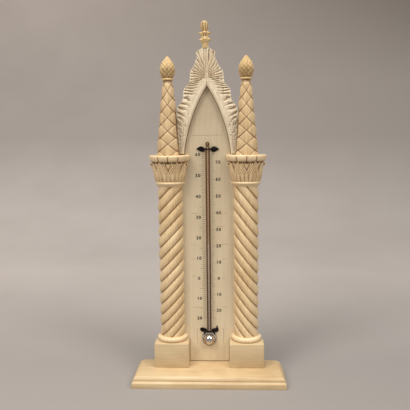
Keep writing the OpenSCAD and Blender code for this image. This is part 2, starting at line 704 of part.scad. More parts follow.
// Rings as [height, share of the stem's or bud's radius, share of the leaves, share of the flutes]
finial_rings = [[0, 1, 0, 0], [0.17, 0.9, 0, 0], [0.33, 0.84, 0, 0], [0.39, 0.95, 0.45, 0],
    [0.45, 1, 1, 0], [0.5, 1, 0.95, 0], [0.56, 0.95, 0.55, 0], [0.61, 0.8, 0, 0], [0.65, 0.82, 0, 0.4],
    [0.72, 1, 0, 1], [0.8, 1, 0, 1], [0.9, 0.95, 0, 1], [0.96, 0.72, 0, 0.6], [1, 0.3, 0, 0]];
function finial_r(a, stem, leaf, flute) = let (
        reach = finial_reach - (finial_reach - finial_depth) * pow(sin(a), 2))
    stem * (flute > 0 ? finial_bud_r * (1 - 0.09 * flute * (1 + cos(8 * a))) : finial_stem_r)
        + leaf * (reach - finial_stem_r) * pow(abs(cos(2 * a)), 3);
module top_finial() {
    color(bone_yellow) on_crest() round_skin(concat(
        [round_ring(finial_columns, fit_gap - finial_peg, function (a, z) finial_peg_r),
            round_ring(finial_columns, 0, function (a, z) finial_peg_r)],
        [for (f = finial_rings) round_ring(finial_columns, f[0] * finial_h,
            function (a, z) finial_r(a, f[1], f[2], f[3]))]));
}

// Tube and mercury

stem_y = back_y - stem_out;
bulb_inner_r = bulb_r - bulb_wall;
neck_z = bulb_z + bulb_inner_r + 0.9;
bore_top = stem_top - 1.2;
module glass_tube() {
    color(clear_glass) translate([0, stem_y, 0]) difference() {
        union() {
            translate([0, 0, bulb_z]) sphere(bulb_r);
            translate([0, 0, bulb_z + bulb_r - 1]) cylinder(r1 = stem_r + 0.8, r2 = stem_r, h = 2.4);
            translate([0, 0, bulb_z]) cylinder(r = stem_r, h = stem_top - bulb_z);
            translate([0, 0, stem_top]) cylinder(r1 = stem_r, r2 = nib_r * 0.7, h = 0.9);
            translate([0, 0, stem_top + 0.8 + nib_r]) sphere(nib_r);
        }
        translate([0, 0, bulb_z]) sphere(bulb_inner_r);
        translate([0, 0, bulb_z]) cylinder(r = bore_r, h = bore_top - bulb_z);
    }
}
mercury_r = bore_r - mercury_gap;
module mercury_bulb() {
    color(quicksilver) translate([0, stem_y, bulb_z]) {
        sphere(bulb_inner_r - mercury_gap);
        cylinder(r = mercury_r, h = neck_z - bulb_z);
    }
}
module mercury_thread() {
    color(quicksilver) translate([0, stem_y, neck_z])
        cylinder(r = mercury_r, h = level_z - cap_h - neck_z);
}
module mercury_cap() {
    color(quicksilver) translate([0, stem_y, level_z - cap_h]) {
        cylinder(r = mercury_r, h = cap_h - mercury_r);
        translate([0, 0, cap_h - mercury_r]) intersection() {
            sphere(mercury_r);
            cylinder(r = mercury_r, h = mercury_r);
        }
    }
}

// Clips

pin_x = 4.9;
lower_pin_x = 5.2;
// Where the four pins go: across from the tube on each clip
pin_places = [for (side = [-1, 1]) each [[side * pin_x, clip_z], [side * lower_pin_x, lower_clip_z]]];
module pin_holes(front, depth) {
    for (p = pin_places) translate([p[0], front, p[1]]) rotate([-90, 0, 0])
        cylinder(r = pin_r + fit_gap / 4, h = depth + overlap);
}
// The strap that runs over the front of the tube, seen from above
module strap() {
    inner = stem_r + fit_gap;
    outer = inner + clip_t;
    translate([0, stem_y, -strap_h / 2]) difference() {
        union() {
            cylinder(r = outer, h = strap_h);
            translate([-outer, 0, 0]) cube([2 * outer, stem_out, strap_h]);
        }
        translate([0, 0, -overlap]) cylinder(r = inner, h = strap_h + 2 * overlap);
        translate([-inner, 0, -overlap]) cube([2 * inner, stem_out + overlap, strap_h + 2 * overlap]);
    }
}
// Leaves that lie on the plate beside the tube, cut freehand, so each has its own outline
leaf_near = stem_r + fit_gap + clip_t / 2;
module leaf(outline, z, side) {
    upright(back_y, clip_t, side) polygon([for (p = outline) [p[0], p[1] + z]]);
}
upper_left_leaf = [[leaf_near, -0.65], [2.6, -2.3], [3.4, -2], [5.1, -1.6], [6.6, -0.8], [8.1, 0],
    [7, 0.9], [5.6, 1.7], [4.3, 2], [3.1, 1.3], [leaf_near, 0.65]];
upper_right_leaf = [[leaf_near, -0.65], [3, -1.6], [4.1, -2.1], [5.2, -1.9], [6.3, -1.2], [8.4, -0.1],
    [6.4, 1.2], [5.3, 1.8], [4.1, 2], [3, 1.3], [leaf_near, 0.65]];
module upper_clip() {
    color(metal_black) difference() {
        union() {
            translate([0, 0, clip_z]) strap();
            leaf(upper_left_leaf, clip_z, false);
            leaf(upper_right_leaf, clip_z, true);
        }
        pin_holes(back_y - clip_t - overlap, clip_t + overlap);
    }
}
lower_left_leaf = [[leaf_near, -0.65], [3.4, -1.4], [4.7, -1.8], [6, -1.2], [7, 0.2], [6.5, 1.4],
    [5, 1.7], [3.4, 1.1], [leaf_near, 0.65]];
lower_right_leaf = [[leaf_near, -0.65], [3.6, -1.2], [4.6, -1.9], [5.8, -1.8], [6.7, -0.6], [6.6, 0.7],
    [6.1, 1.6], [5.9, 3.2], [5.2, 3], [5.1, 1.5], [4, 1.1], [leaf_near, 0.65]];
// A claw that runs down over the bulb's shoulder
claw = [[2.2, -0.5], [3, -0.7], [3.4, -1.8], [4, -3.5], [3.4, -3.9], [2.5, -2.6]];
module lower_clip() {
    color(metal_black) difference() {
        union() {
            translate([0, 0, lower_clip_z]) strap();
            leaf(lower_left_leaf, lower_clip_z, false);
            leaf(lower_right_leaf, lower_clip_z, true);
            for (side = [false, true]) leaf(claw, lower_clip_z, side);
        }
        pin_holes(back_y - clip_t - overlap, clip_t + overlap);
    }
}
module clip_pins() {
    color(metal_black) for (p = pin_places) translate([p[0], back_y - clip_t, p[1]]) {
        rotate([-90, 0, 0]) cylinder(r = pin_r, h = pin_l);
        rotate([90, 0, 0]) cylinder(r1 = 2 * pin_r, r2 = 1.4 * pin_r, h = pin_r);
    }
}

base_board();
base_step();
plinth_left();
plinth_right();
base_dowels();
base_ring_left();
base_ring_right();
column_left();
column_right();
neck_ring_left();
neck_ring_right();
capital_left();
capital_right();
abacus_left();
abacus_right();
spire_left();
spire_right();
collar_left();
collar_right();
bud_left();
bud_right();
scale_plate();
arch_left();
arch_right();
crest();
top_finial();
glass_tube();
mercury_bulb();
mercury_thread();
mercury_cap();
upper_clip();
lower_clip();
clip_pins();
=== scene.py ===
"""A carved bone column thermometer, dressed over its frame of solids and put in a plain studio."""

import math

import bpy
from mathutils import Matrix, Vector, noise
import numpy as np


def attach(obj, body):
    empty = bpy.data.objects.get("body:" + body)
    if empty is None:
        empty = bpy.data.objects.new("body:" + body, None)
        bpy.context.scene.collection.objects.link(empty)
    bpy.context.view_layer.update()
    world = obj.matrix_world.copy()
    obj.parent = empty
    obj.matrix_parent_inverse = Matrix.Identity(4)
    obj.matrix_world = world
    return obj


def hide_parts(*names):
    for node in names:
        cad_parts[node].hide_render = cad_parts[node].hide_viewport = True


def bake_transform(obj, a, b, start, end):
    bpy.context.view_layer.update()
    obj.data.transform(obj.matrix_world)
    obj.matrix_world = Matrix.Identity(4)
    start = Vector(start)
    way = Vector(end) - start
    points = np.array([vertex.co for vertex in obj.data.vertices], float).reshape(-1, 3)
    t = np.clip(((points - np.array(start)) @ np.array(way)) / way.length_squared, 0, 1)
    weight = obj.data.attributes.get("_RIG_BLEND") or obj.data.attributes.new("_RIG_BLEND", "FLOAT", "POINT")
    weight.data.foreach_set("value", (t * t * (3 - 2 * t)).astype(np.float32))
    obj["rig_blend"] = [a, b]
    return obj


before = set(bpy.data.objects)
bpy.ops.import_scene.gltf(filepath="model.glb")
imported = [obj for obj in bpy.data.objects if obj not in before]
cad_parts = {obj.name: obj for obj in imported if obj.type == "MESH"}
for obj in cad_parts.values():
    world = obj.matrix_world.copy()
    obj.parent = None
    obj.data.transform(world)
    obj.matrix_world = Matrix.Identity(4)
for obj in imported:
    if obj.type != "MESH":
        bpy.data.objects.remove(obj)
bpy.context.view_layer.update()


# The view: a camera in front of the thermometer and a little above its middle. Its place,
# turn and lens were fitted to the straight edges of the base in the photograph.
mm = 0.001
lens = bpy.data.cameras.new("view")
lens.lens = 46.38
lens.clip_start = 10 * mm
camera = bpy.data.objects.new("view", lens)
bpy.context.scene.collection.objects.link(camera)
sight_right = Vector((0.99905, 0.04211, -0.01094))
sight_up = Vector((0.0054, 0.12954, 0.99156))
sight_back = Vector((0.04318, -0.99068, 0.12919))
camera_turn = Matrix((sight_right, sight_up, sight_back)).transposed().to_4x4()
camera_place = Vector((13.86, -357.91, 172.88)) * mm
camera.matrix_world = Matrix.Translation(camera_place) @ camera_turn
bpy.context.scene.camera = camera


# The studio: a pale grey sheet that lies under the thermometer and rises behind it in a
# wide curve, so that no horizon shows.
class Wire:
    """A socket of a finish. Sums written with it become Math nodes."""

    def __init__(self, finish, socket):
        self.finish, self.socket = finish, socket

    def maths(self, operation, *values):
        return self.finish.node("ShaderNodeMath", {"operation": operation}, dict(enumerate(values)))

    def __add__(self, other):
        return self.maths("ADD", self, other)

    def __sub__(self, other):
        return self.maths("SUBTRACT", self, other)

    def __rsub__(self, other):
        return self.maths("SUBTRACT", other, self)

    def __mul__(self, other):
        return self.maths("MULTIPLY", self, other)

    def __pow__(self, other):
        return self.maths("POWER", self, other)

    __radd__ = __add__
    __rmul__ = __mul__


class Finish:
    """A material that is built up node by node."""

    def __init__(self, name):
        self.material = bpy.data.materials.new(name)
        self.material.use_nodes = True
        self.tree = self.material.node_tree
        self.tree.nodes.clear()

    def node(self, kind, settings=None, inputs=None, output=0):
        """Adds a node, sets it up, gives its sockets values or links, and returns an output."""
        made = self.tree.nodes.new(kind)
        for key, value in (settings or {}).items():
            setattr(made, key, value)
        for key, value in (inputs or {}).items():
            if isinstance(value, Wire):
                self.tree.links.new(value.socket, made.inputs[key])
            else:
                made.inputs[key].default_value = value
        return Wire(self, made.outputs[output]) if made.outputs else None

    def along(self, axis):
        """How far a point lies along x, y or z, for axis 0, 1 or 2, in metres."""
        place = self.node("ShaderNodeTexCoord", output=3)
        return self.node("ShaderNodeSeparateXYZ", inputs={0: place}, output=axis)

    def cloud(self, scale, detail=2.0, stretch=(1, 1, 1), distortion=0.0):
        """Noise with features of about 1/scale metres, drawn out along an axis by stretch."""
        place = self.node("ShaderNodeTexCoord", output=3)
        drawn = self.node("ShaderNodeMapping", inputs={"Vector": place, "Scale": stretch})
        inputs = {"Vector": drawn, "Scale": scale, "Detail": detail, "Distortion": distortion}
        return self.node("ShaderNodeTexNoise", inputs=inputs)

    def between(self, value, low, high):
        """Spreads a value so that low becomes 0 and high becomes 1, and clamps it."""
        inputs = {"Value": value, "From Min": low, "From Max": high}
        return self.node("ShaderNodeMapRange", inputs=inputs)

    def mix(self, share, first, second):
        """One colour turning into another as share goes from 0 to 1. Each is a socket or
        three display values, 0 to 255."""
        first, second = (c if isinstance(c, Wire) else shade(*c) for c in (first, second))
        inputs = {0: share, 6: first, 7: second}
        return self.node("ShaderNodeMix", {"data_type": "RGBA"}, inputs, output=2)

    def surface(self, color, rough, bump=None, depth=0.1, more=None):
        """Closes the finish with one shader. bump is a height of up to depth millimetres."""
        inputs = {"Base Color": color, "Roughness": rough, **(more or {})}
        if bump is not None:
            relief = {"Height": bump, "Distance": depth * mm, "Strength": 1.0}
            inputs = dict(inputs, Normal=self.node("ShaderNodeBump", inputs=relief))
        shader = self.node("ShaderNodeBsdfPrincipled", inputs=inputs)
        self.node("ShaderNodeOutputMaterial", inputs={"Surface": shader})
        return self.material


def shade(red, green, blue):
    """A colour from its three display values, 0 to 255."""
    values = [c / 255 for c in (red, green, blue)]
    return (*[c / 12.92 if c < 0.04045 else ((c + 0.055) / 1.055) ** 2.4 for c in values], 1.0)


def paper():
    """Matt warm grey card, slightly mottled, with painted shade: darker upwards and to the right, where less
    of the lamps' light falls.
    """
    finish = Finish("backdrop_card")
    mottle = finish.between(finish.cloud(9, 3), 0.3, 0.7)
    across, deep, up = (finish.along(axis) for axis in range(3))
    near = finish.between(across, -0.12, 0.14)
    right = finish.between(across, -0.5, 0.55)
    # Painted shade: the floor darker to the right, the rising sheet darker to the right and upwards
    floor = finish.mix(near, (161, 154, 148), (152, 147, 142))
    light = finish.mix(right, (204, 195, 187), (176, 169, 163))
    dusk = finish.mix(right, (177, 168, 160), (155, 147, 140))
    dark = finish.mix(right, (192, 181, 171), (114, 105, 97))
    sheet = finish.mix(finish.between(up, 0.03, 0.17), light, dusk)
    sheet = finish.mix(finish.between(up, 0.3, 0.56), sheet, dark)
    color = finish.mix(finish.between(deep, 0.03, 0.3), floor, sheet)
    aged = finish.mix(mottle * 0.2, color, (150, 140, 132))
    return finish.surface(aged, 0.9)


def mode(name):
    """Edit mode or object mode."""
    bpy.ops.object.mode_set(mode=name)


def deselect():
    bpy.ops.object.select_all(action="DESELECT")


def named(name):
    """The piece that was just added, with its name."""
    piece = bpy.context.object
    piece.name = piece.data.name = name
    return piece


def pick(piece, kind, chosen):
    """Edit mode with the faces or edges selected whose middle, in millimetres, is chosen."""
    mode("EDIT")
    bpy.ops.mesh.select_mode(type=kind)
    bpy.ops.mesh.select_all(action="DESELECT")
    mode("OBJECT")
    points = piece.data.vertices
    for part in piece.data.polygons if kind == "FACE" else piece.data.edges:
        corners = [points[v].co for v in part.vertices]
        part.select = chosen(sum(corners, Vector()) / len(corners) / mm)
    mode("EDIT")


def grow(x=0, y=0, z=0):
    """Extrudes what is selected by a distance in millimetres."""
    bpy.ops.mesh.extrude_region_move(TRANSFORM_OT_translate={"value": (x * mm, y * mm, z * mm)})


def worked(piece, kind, **settings):
    """Changes the active piece's mesh with a modifier, applied at once."""
    change = piece.modifiers.new(kind.lower(), kind)
    for key, value in settings.items():
        setattr(change, key, value)
    bpy.ops.object.modifier_apply(modifier=change.name)


deselect()
bpy.ops.mesh.primitive_plane_add(size=4, location=(0, -0.9, 0))
backdrop = named("backdrop")
bpy.ops.object.transform_apply(location=True)
pick(backdrop, "EDGE", lambda c: c.y > 1000)
grow(z=2600)
mode("OBJECT")
worked(backdrop, "BEVEL", width=0.7, segments=20)
bpy.ops.object.shade_smooth()
backdrop.data.materials.append(paper())


# The lights: two wide soft boxes in front, high on the left and on the right, a broad one
# overhead, and the room's own dim light.
plate_middle, warm_white = Vector((0, 0, 0.12)), (1.0, 0.965, 0.92)
for name, place, size, power in (
    ("left_box", (-0.75, -0.8, 1.1), 0.55, 9.6),
    ("right_box", (0.85, -0.75, 1.1), 0.55, 8.6),
    ("top_box", (-0.05, -0.25, 1.25), 0.6, 8.6),
):
    lamp = bpy.data.lights.new(name, "AREA")
    lamp.size = size
    lamp.energy = power
    lamp.color = warm_white
    box = bpy.data.objects.new(name, lamp)
    bpy.context.scene.collection.objects.link(box)
    aim = plate_middle - Vector(place)
    box.location = place
    box.rotation_euler = aim.to_track_quat("-Z", "Y").to_euler()
room = bpy.data.worlds.new("room")
room.use_nodes = True
room.node_tree.nodes["Background"].inputs["Color"].default_value = (0.93, 0.94, 1.0, 1)
room.node_tree.nodes["Background"].inputs["Strength"].default_value = 0.32
bpy.context.scene.world = room
bpy.context.scene.view_settings.view_transform = "Standard"


# The lower board: a slab of bone with an upright face and a weathered top edge on its
# front and both ends. Its back is flat, so that the piece can stand against a wall.
def bone(name, pale, deep, grime_and_shade, rough=0.4, grain=(1, 1, 0.04), pores=0.5):
    """Old bone: mottled from pale to deep, with fine dark pores along the grain, and brown
    where its cuts are noted as hollow, partly dirt and partly painted shade in the recesses."""
    finish = Finish(name)
    mottle = finish.between(finish.cloud(38, 4, distortion=0.6), 0.32, 0.68)
    streak = finish.between(finish.cloud(900, 3, stretch=grain), 0.34, 0.66)
    fleck = finish.between(finish.cloud(1500, 2, stretch=grain), 0.66, 0.78)
    hollow = finish.node("ShaderNodeAttribute", {"attribute_name": "hollow"}, output=2)
    rubbed = finish.mix(mottle * 0.55 + streak * 0.45, pale, deep)
    pitted = finish.mix(fleck * (pores * 0.5), rubbed, grime_and_shade)
    # Painted shade and dirt: brown where a point lies deep in a cut
    recess_dirt_and_shade = finish.between(hollow + (streak - 0.5) * 0.2, 0.08, 0.95)
    color = finish.mix(recess_dirt_and_shade * 0.86, pitted, grime_and_shade)
    worn = rough + streak * 0.14 + hollow * 0.2
    bump = streak * 0.5 - fleck * pores + finish.cloud(210, 3) * 0.8
    return finish.surface(color, worn, bump, 0.06)


def block(name, low, high):
    """A cube primitive between two corners, in millimetres."""
    deselect()
    middle = [(a + b) / 2 * mm for a, b in zip(low, high)]
    size = [(b - a) * mm for a, b in zip(low, high)]
    bpy.ops.mesh.primitive_cube_add(size=1, location=middle)
    piece = named(name)
    piece.scale = size
    bpy.ops.object.transform_apply(location=True, rotation=True, scale=True)
    return piece


def smooth(angle):
    """Shades a piece smooth but for the edges that are sharper than angle, in degrees."""
    bpy.ops.object.shade_smooth_by_angle(angle=math.radians(angle))


def eased(piece, width, segments=3, angle=30):
    """Rounds every sharp edge a little, as handling does, and shades the rest smooth."""
    sharp = {"limit_method": "ANGLE", "angle_limit": math.radians(angle)}
    worked(piece, "BEVEL", width=width * mm, segments=segments, **sharp)
    smooth(angle)


def fit(piece, material, node=None, body="root"):
    """Gives a piece its finish and sets it on the thermometer in place of a plain node."""
    piece.data.materials.clear()
    piece.data.materials.append(material)
    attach(piece, body)
    if node:
        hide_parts(node)


def raised(piece, low, high, wide, deep):
    """Draws the top face up from low to high and narrows it, with the back kept upright."""
    pick(piece, "FACE", lambda c: c.z > low - 0.001)
    grow(z=high - low)
    bpy.ops.transform.resize(value=(wide, deep, 1), center_override=(0, back * mm, high * mm))
    mode("OBJECT")


board_w, board_d, board_h, face_h, weather = 107, 28.4, 4.9, 3.6, 1.2
back = board_d / 2
lower_board = block("lower_board", (-board_w / 2, -back, 0), (board_w / 2, back, face_h))
raised(lower_board, face_h, board_h, 1 - 2 * weather / board_w, 1 - weather / board_d)
eased(lower_board, 0.22)
board_bone = bone("board_bone", (222, 197, 155), (196, 165, 119), (140, 98, 56), grain=(0.04, 1, 1))
fit(lower_board, board_bone, "base_board")


# The upper board: thinner and smaller, with a wide thumb moulding along its front and both
# ends, glued and dowelled on the lower one. A rebate in its back takes the foot of the plate.
def choose(*pieces):
    """Selects these pieces alone, with the first as the active one."""
    deselect()
    for piece in pieces:
        piece.select_set(True)
    bpy.context.view_layer.objects.active = pieces[0]


step_low, step_high, step_in, mould_w, mould_foot = 4.9, 9.1, 1.2, 7.5, 0.4
plate_y = back - 2.2
plate_half = 22.1
top_w, top_d, top_z = board_w - 2 * step_in, board_d - step_in, step_low + mould_foot
upper_board = block("upper_board", (-top_w / 2, step_in - back, step_low), (top_w / 2, back, top_z))
mould_h = step_high - top_z
mould_steps = 14
for i in range(1, mould_steps + 1):
    turn = math.pi / 2 * i / mould_steps
    inset = mould_w * (1 - max(0, math.cos(turn)) ** 0.87)
    rise = step_low + mould_foot + mould_h * math.sin(turn) ** 0.87
    next_w, next_d = board_w - 2 * (step_in + inset), board_d - step_in - inset
    raised(upper_board, top_z, rise, next_w / top_w, next_d / top_d)
    top_w, top_d, top_z = next_w, next_d, rise
rebate = block("rebate", (-plate_half, plate_y, step_low - 1), (plate_half, back + 1, step_high + 1))
choose(upper_board)
worked(upper_board, "BOOLEAN", object=rebate, solver="EXACT")
bpy.data.objects.remove(rebate)
eased(upper_board, 0.12, 2, 48)
fit(upper_board, board_bone, "base_step")


# The dowels: two pegs of pale wood inside the boards and plinths. They don't show, so the
# plain solids stay and only get the wood's colour and grain.
def wood():
    """Straight-grained pale wood with narrow rings."""
    finish = Finish("dowel_wood")
    rings = finish.between(finish.cloud(900, 3, stretch=(1, 1, 0.03)), 0.35, 0.65)
    color = finish.mix(rings, (196, 160, 112), (158, 118, 76))
    return finish.surface(color, 0.6, rings, 0.05)


def dress(node, material):
    """Gives a solid that stays its finish."""
    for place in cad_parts[node].material_slots:
        place.material = material


dress("base_dowels", wood())


# The plinths: plain blocks under the columns, sawn across the bone, so that their faces
# are greyer and show the saw. Their edges are chamfered.
def mirrored(piece, name):
    """The same piece for the other side, cut as its mirror image."""
    other = piece.copy()
    other.data = piece.data.copy()
    other.name = other.data.name = name
    bpy.context.scene.collection.objects.link(other)
    other.data.transform(Matrix.Scale(-1, 4, (1, 0, 0)))
    other.data.flip_normals()
    return other


def fit_pair(piece, material, node):
    """Fits a left piece, and its mirror image on the right."""
    other = mirrored(piece, piece.name.replace("_left", "_right"))
    fit(piece, material, node + "_left")
    fit(other, material, node + "_right")


column_x = 26.7
column_spot = (-column_x, plate_y)
plinth_low, plinth_high, plinth_half, plinth_d = 9.1, 26.6, 12.25, 12
plinth = block(
    "plinth_block_left",
    (-column_x - plinth_half, plate_y - plinth_d, plinth_low),
    (-column_x + plinth_half, plate_y, plinth_high),
)
eased(plinth, 0.5, 2)
plinth_bone = bone(
    "plinth_bone", (218, 195, 154), (194, 167, 126), (140, 104, 66),
    rough=0.5, grain=(0.05, 1, 1.5), pores=0.35,
)
fit_pair(plinth, plinth_bone, "plinth")


# The turned rings: half beads at the foot and the neck of each shaft, turned full round
# and sawn in half. The tenons of the shafts pass through them.
def whole_mesh():
    """Edit mode with the whole mesh selected."""
    mode("EDIT")
    bpy.ops.mesh.select_all(action="SELECT")


def sawn(place, away):
    """Saws off what lies beyond a plane, on the side that away points to, and closes the cut."""
    whole_mesh()
    bpy.ops.mesh.bisect(plane_co=Vector(place) * mm, plane_no=away, use_fill=True, clear_outer=True)
    mode("OBJECT")


def noted(piece):
    """A piece's points, each with its note: how deep it lies in a cut, from 0 to 1."""
    kept = piece.data.attributes
    notes = kept.get("hollow") or kept.new("hollow", "FLOAT", "POINT")
    return zip(piece.data.vertices, notes.data)


def halved(piece):
    """Saws off what lies behind the columns' flat backs, and leaves the backs clean."""
    sawn((0, plate_y, 0), (0, 1, 0))
    for point, note in noted(piece):
        if point.co.y > (plate_y - 0.01) * mm:
            note.value = 0.12


def carved(name, sides, heights, place, cut, lean=0):
    """A sphere primitive whose rings move to the heights, about the upright line at place.
    cut(angle, height) gives a ring's radius and how deep the point lies in a cut. Angles
    are degrees from the front, to the right. Lengths are millimetres. With a lean, each
    ring lies in a plane that climbs by so much for each millimetre to the right."""
    deselect()
    rings = len(heights) + 1
    bpy.ops.mesh.primitive_uv_sphere_add(segments=sides, ring_count=rings, radius=1)
    piece = named(name)
    for point, note in noted(piece):
        ring = rings - round(rings * math.acos(max(-1, min(1, point.co.z))) / math.pi)
        height = heights[max(0, min(len(heights) - 1, ring - 1))]
        angle = math.atan2(point.co.x, -point.co.y)
        if 0 < ring < rings:
            reach, note.value = cut(math.degrees(angle), height)
        else:
            reach = 0
        x, y = reach * math.sin(angle), -reach * math.cos(angle)
        point.co = Vector((place[0] + x, place[1] + y, height + lean * x)) * mm
    bpy.ops.object.shade_smooth()
    return piece


def outline_reach(outline, height):
    """The radius that an outline of (radius, height) points has at a height."""
    for (r0, z0), (r1, z1) in zip(outline, outline[1:]):
        if height <= z1:
            return r0 + (r1 - r0) * (height - z0) / (z1 - z0)
    return outline[-1][0]


def turned(name, sides, outline, place):
    """A piece turned to an outline, about the upright line at place."""
    heights = [height for _, height in outline]
    return carved(name, sides, heights, place, lambda angle, z: (outline_reach(outline, z), 0))


def bead_outline(radius, low, high):
    """A half-round edge between two heights."""
    bead_r = (high - low) / 2
    turns = [math.radians(turn) for turn in range(-90, 91, 9)]
    edge_r, middle = radius - bead_r, low + bead_r
    return [(edge_r + bead_r * math.cos(t), middle + bead_r * math.sin(t)) for t in turns]


base_ring_r, shaft_low = 11, 30.2
neck_r, neck_low, neck_h = 10.4, 138.3, 3.3
neck_steps = (
    (1.6, 0), (1.45, 0.06), (1.3, 0.12), (0.9, 0.28), (0.35, 0.48), (0.15, 0.54), (0.04, 0.62),
    (0, 0.7), (0.03, 0.77), (0.1, 0.84), (0.3, 0.92), (0.48, 0.97), (0.7, 1),
)
neck_outline = [(neck_r - inset, neck_low + neck_h * share) for inset, share in neck_steps]
base_outline = bead_outline(base_ring_r, plinth_high, shaft_low)
warm_bone = bone("warm_bone", (244, 220, 178), (224, 194, 150), (140, 100, 60))
for place, outline in (("base", base_outline), ("neck", neck_outline)):
    ring = turned(place + "_bead_left", 144, outline, column_spot)
    halved(ring)
    smooth(40)
    fit_pair(ring, warm_bone, place + "_ring")


# The shafts: half-round ropes, filed straight across at a slant, so that every groove lies
# in one plane. They climb towards the tube. The left one is flatter than the right one, and
# the strands widen a little towards the top. The grooves are brown, partly dirt and partly
# painted shade, and the lower side of each strand is painted darker as shade.
def ramp(value, low, high):
    """0 below low, 1 above high, and a soft slope between."""
    t = max(0, min(1, (value - low) / (high - low)))
    return t * t * (3 - 2 * t)


shaft_r, shaft_high, groove, drift = 8.9, neck_low, 1.15, 0.07
shaft_h = shaft_high - shaft_low
strand_rings = 24


def strand_number(z, pitch):
    """Strands between the shaft's foot and a height above it."""
    return z / pitch * (1 + drift * (1 - z / shaft_h))


def strand_height(number, pitch):
    """The height above the shaft's foot for a number of strands."""
    root = math.sqrt((1 + drift) ** 2 - 4 * drift * number * pitch / shaft_h)
    return shaft_h / (2 * drift) * (1 + drift - root)


def rope(name, x, pitch, lean, front_groove):
    """A shaft of slanted lobes, longer than it should be, then sawn to its length and in half."""
    first = strand_number(front_groove, pitch)
    reach = abs(lean) * shaft_r + 1
    low = math.floor((strand_number(-reach, pitch) - first) * strand_rings)
    high = math.ceil((strand_number(shaft_h + reach, pitch) - first) * strand_rings)
    numbers = [first + i / strand_rings for i in range(low, high + 1)]
    heights = [shaft_low + strand_height(number, pitch) for number in numbers]

    def strand(angle, height):
        share = (strand_number(height - shaft_low, pitch) - first) % 1
        lobe = abs(math.sin(math.pi * share))
        wobble = 0.05 * noise.noise(Vector((x + angle / 14, height / 3, 0)))
        # The file left faint flats that run up the shaft
        flat = 0.05 * abs(math.sin(math.radians(angle * 9)))
        # Brown in the grooves is partly dirt, partly painted shade; the lower side of each strand is painted
        # shade
        dirt_and_shade = ramp(0.36 - lobe, 0, 0.34) + 0.26 * ramp(0.42 - share, 0, 0.34)
        return shaft_r - groove * (1 - lobe**0.72) - (flat + wobble) * lobe, min(1, dirt_and_shade)

    piece = carved(name, 104, heights, (x, plate_y), strand, lean)
    sawn((0, 0, shaft_low), (0, 0, -1))
    sawn((0, 0, shaft_high), (0, 0, 1))
    halved(piece)
    smooth(50)
    return piece


shaft_bone = bone("shaft_bone", (240, 214, 170), (212, 179, 130), (150, 112, 66), grain=(1, 1, 0.12))
for side, x, pitch, lean, front_groove in (
    ("left", -column_x, 8.24, 1.04, 7.42), ("right", column_x, 8.46, -1.24, 6.21),
):
    shaft = rope("rope_shaft_" + side, x, pitch, lean, front_groove)
    fit(shaft, shaft_bone, "column_" + side)


# The capitals: a full bell with two broad acanthus leaves that meet at the front and two tall
# smooth ones at its sides. Over the notch between the broad leaves hangs the tip of a leaf
# behind them. A row of drilled hollows runs under the abacus, with a scroll at each end.
def levels(low, high, count):
    """Evenly spaced heights."""
    return [low + (high - low) * i / (count - 1) for i in range(count)]


def join(pieces, name):
    """Makes one piece of several."""
    choose(*pieces)
    bpy.ops.object.join()
    return named(name)


bell_low, bell_high = neck_low + neck_h, 155.5
tall_at, tall_w = 62, 16  # degrees from the front to a tall leaf's middle, and half its width


def acanthus(angle, height):
    t = (height - bell_low) / (bell_high - bell_low)
    across = abs(angle)
    run = 12 * math.sin(math.radians(min(90, across)))  # millimetres from the middle
    reach = 9.35 + 2.75 * t**0.6
    hollow = 0.1
    # The V notch between the broad leaves, with the tip of the leaf behind it
    notch_half = 1.9 * ramp(t, 0.5, 0.95)
    in_notch = ramp(notch_half - run, -0.12, 0.12) if t > 0.5 else 0
    edge_line = ramp(0.34 - abs(run - notch_half), 0, 0.3) * ramp(t, 0.46, 0.54)
    # The outer edge of a broad leaf, against the tall leaf beside it
    tall_half = tall_w * math.sqrt(max(0, 1 - (t / 0.97) ** 3.2))
    tall = ramp(tall_half - abs(across - tall_at), -0.8, 0.8)
    tall_line = ramp(2.4 - abs(abs(across - tall_at) - tall_half), 0, 2) * ramp(t, 0.42, 0.75)
    # Slanted ribs fall to the middle across the upper half of the broad leaves
    slant = run * 1.25 + run * run * 0.05 - t * 13.9
    rib = abs(math.sin(math.pi * slant / 2.5)) ** 0.8
    ribbed = ramp(t, 0.3, 0.46) * (1 - in_notch) * (1 - tall) * ramp(t, 1, 0.9)
    swell = 0.55 * (1 - ramp(abs(across - 26), 4, 24)) * (0.5 + 0.5 * t)
    reach += swell + 0.6 * tall + 0.6 * (rib - 1) * ribbed - 0.6 * edge_line - 0.7 * tall_line
    reach -= 0.4 * in_notch
    hollow += 0.58 * (1 - rib) * ribbed + 0.9 * edge_line
    hollow += 0.9 * tall_line + 0.1 * ramp(t, 0.4, 0.2)
    # Upright flutes low on the leaves
    wave = abs(math.cos(math.radians(across * 11.25)))
    fluted = ramp(t, 0.52, 0.3) * (0.55 + 0.45 * ramp(across, 60, 10))
    reach += 0.3 * (wave - 1) * fluted
    hollow += 0.5 * (1 - wave) ** 1.5 * fluted
    # Drilled hollows under the abacus, and the dark joint itself
    spot = ramp(abs(math.cos(math.radians(across * 9))), 0.45, 0.9)
    drilled = ramp(t, 0.88, 0.93) * spot
    reach -= 0.7 * drilled + 0.4 * ramp(t, 0.955, 0.985)
    hollow += 0.8 * drilled + 0.3 * ramp(t, 0.93, 0.98)
    return min(reach, 13), max(0, min(1, hollow))


bell_levels = levels(bell_low, bell_high, 84)
capital = carved("capital_bell_left", 360, bell_levels, column_spot, acanthus)
halved(capital)

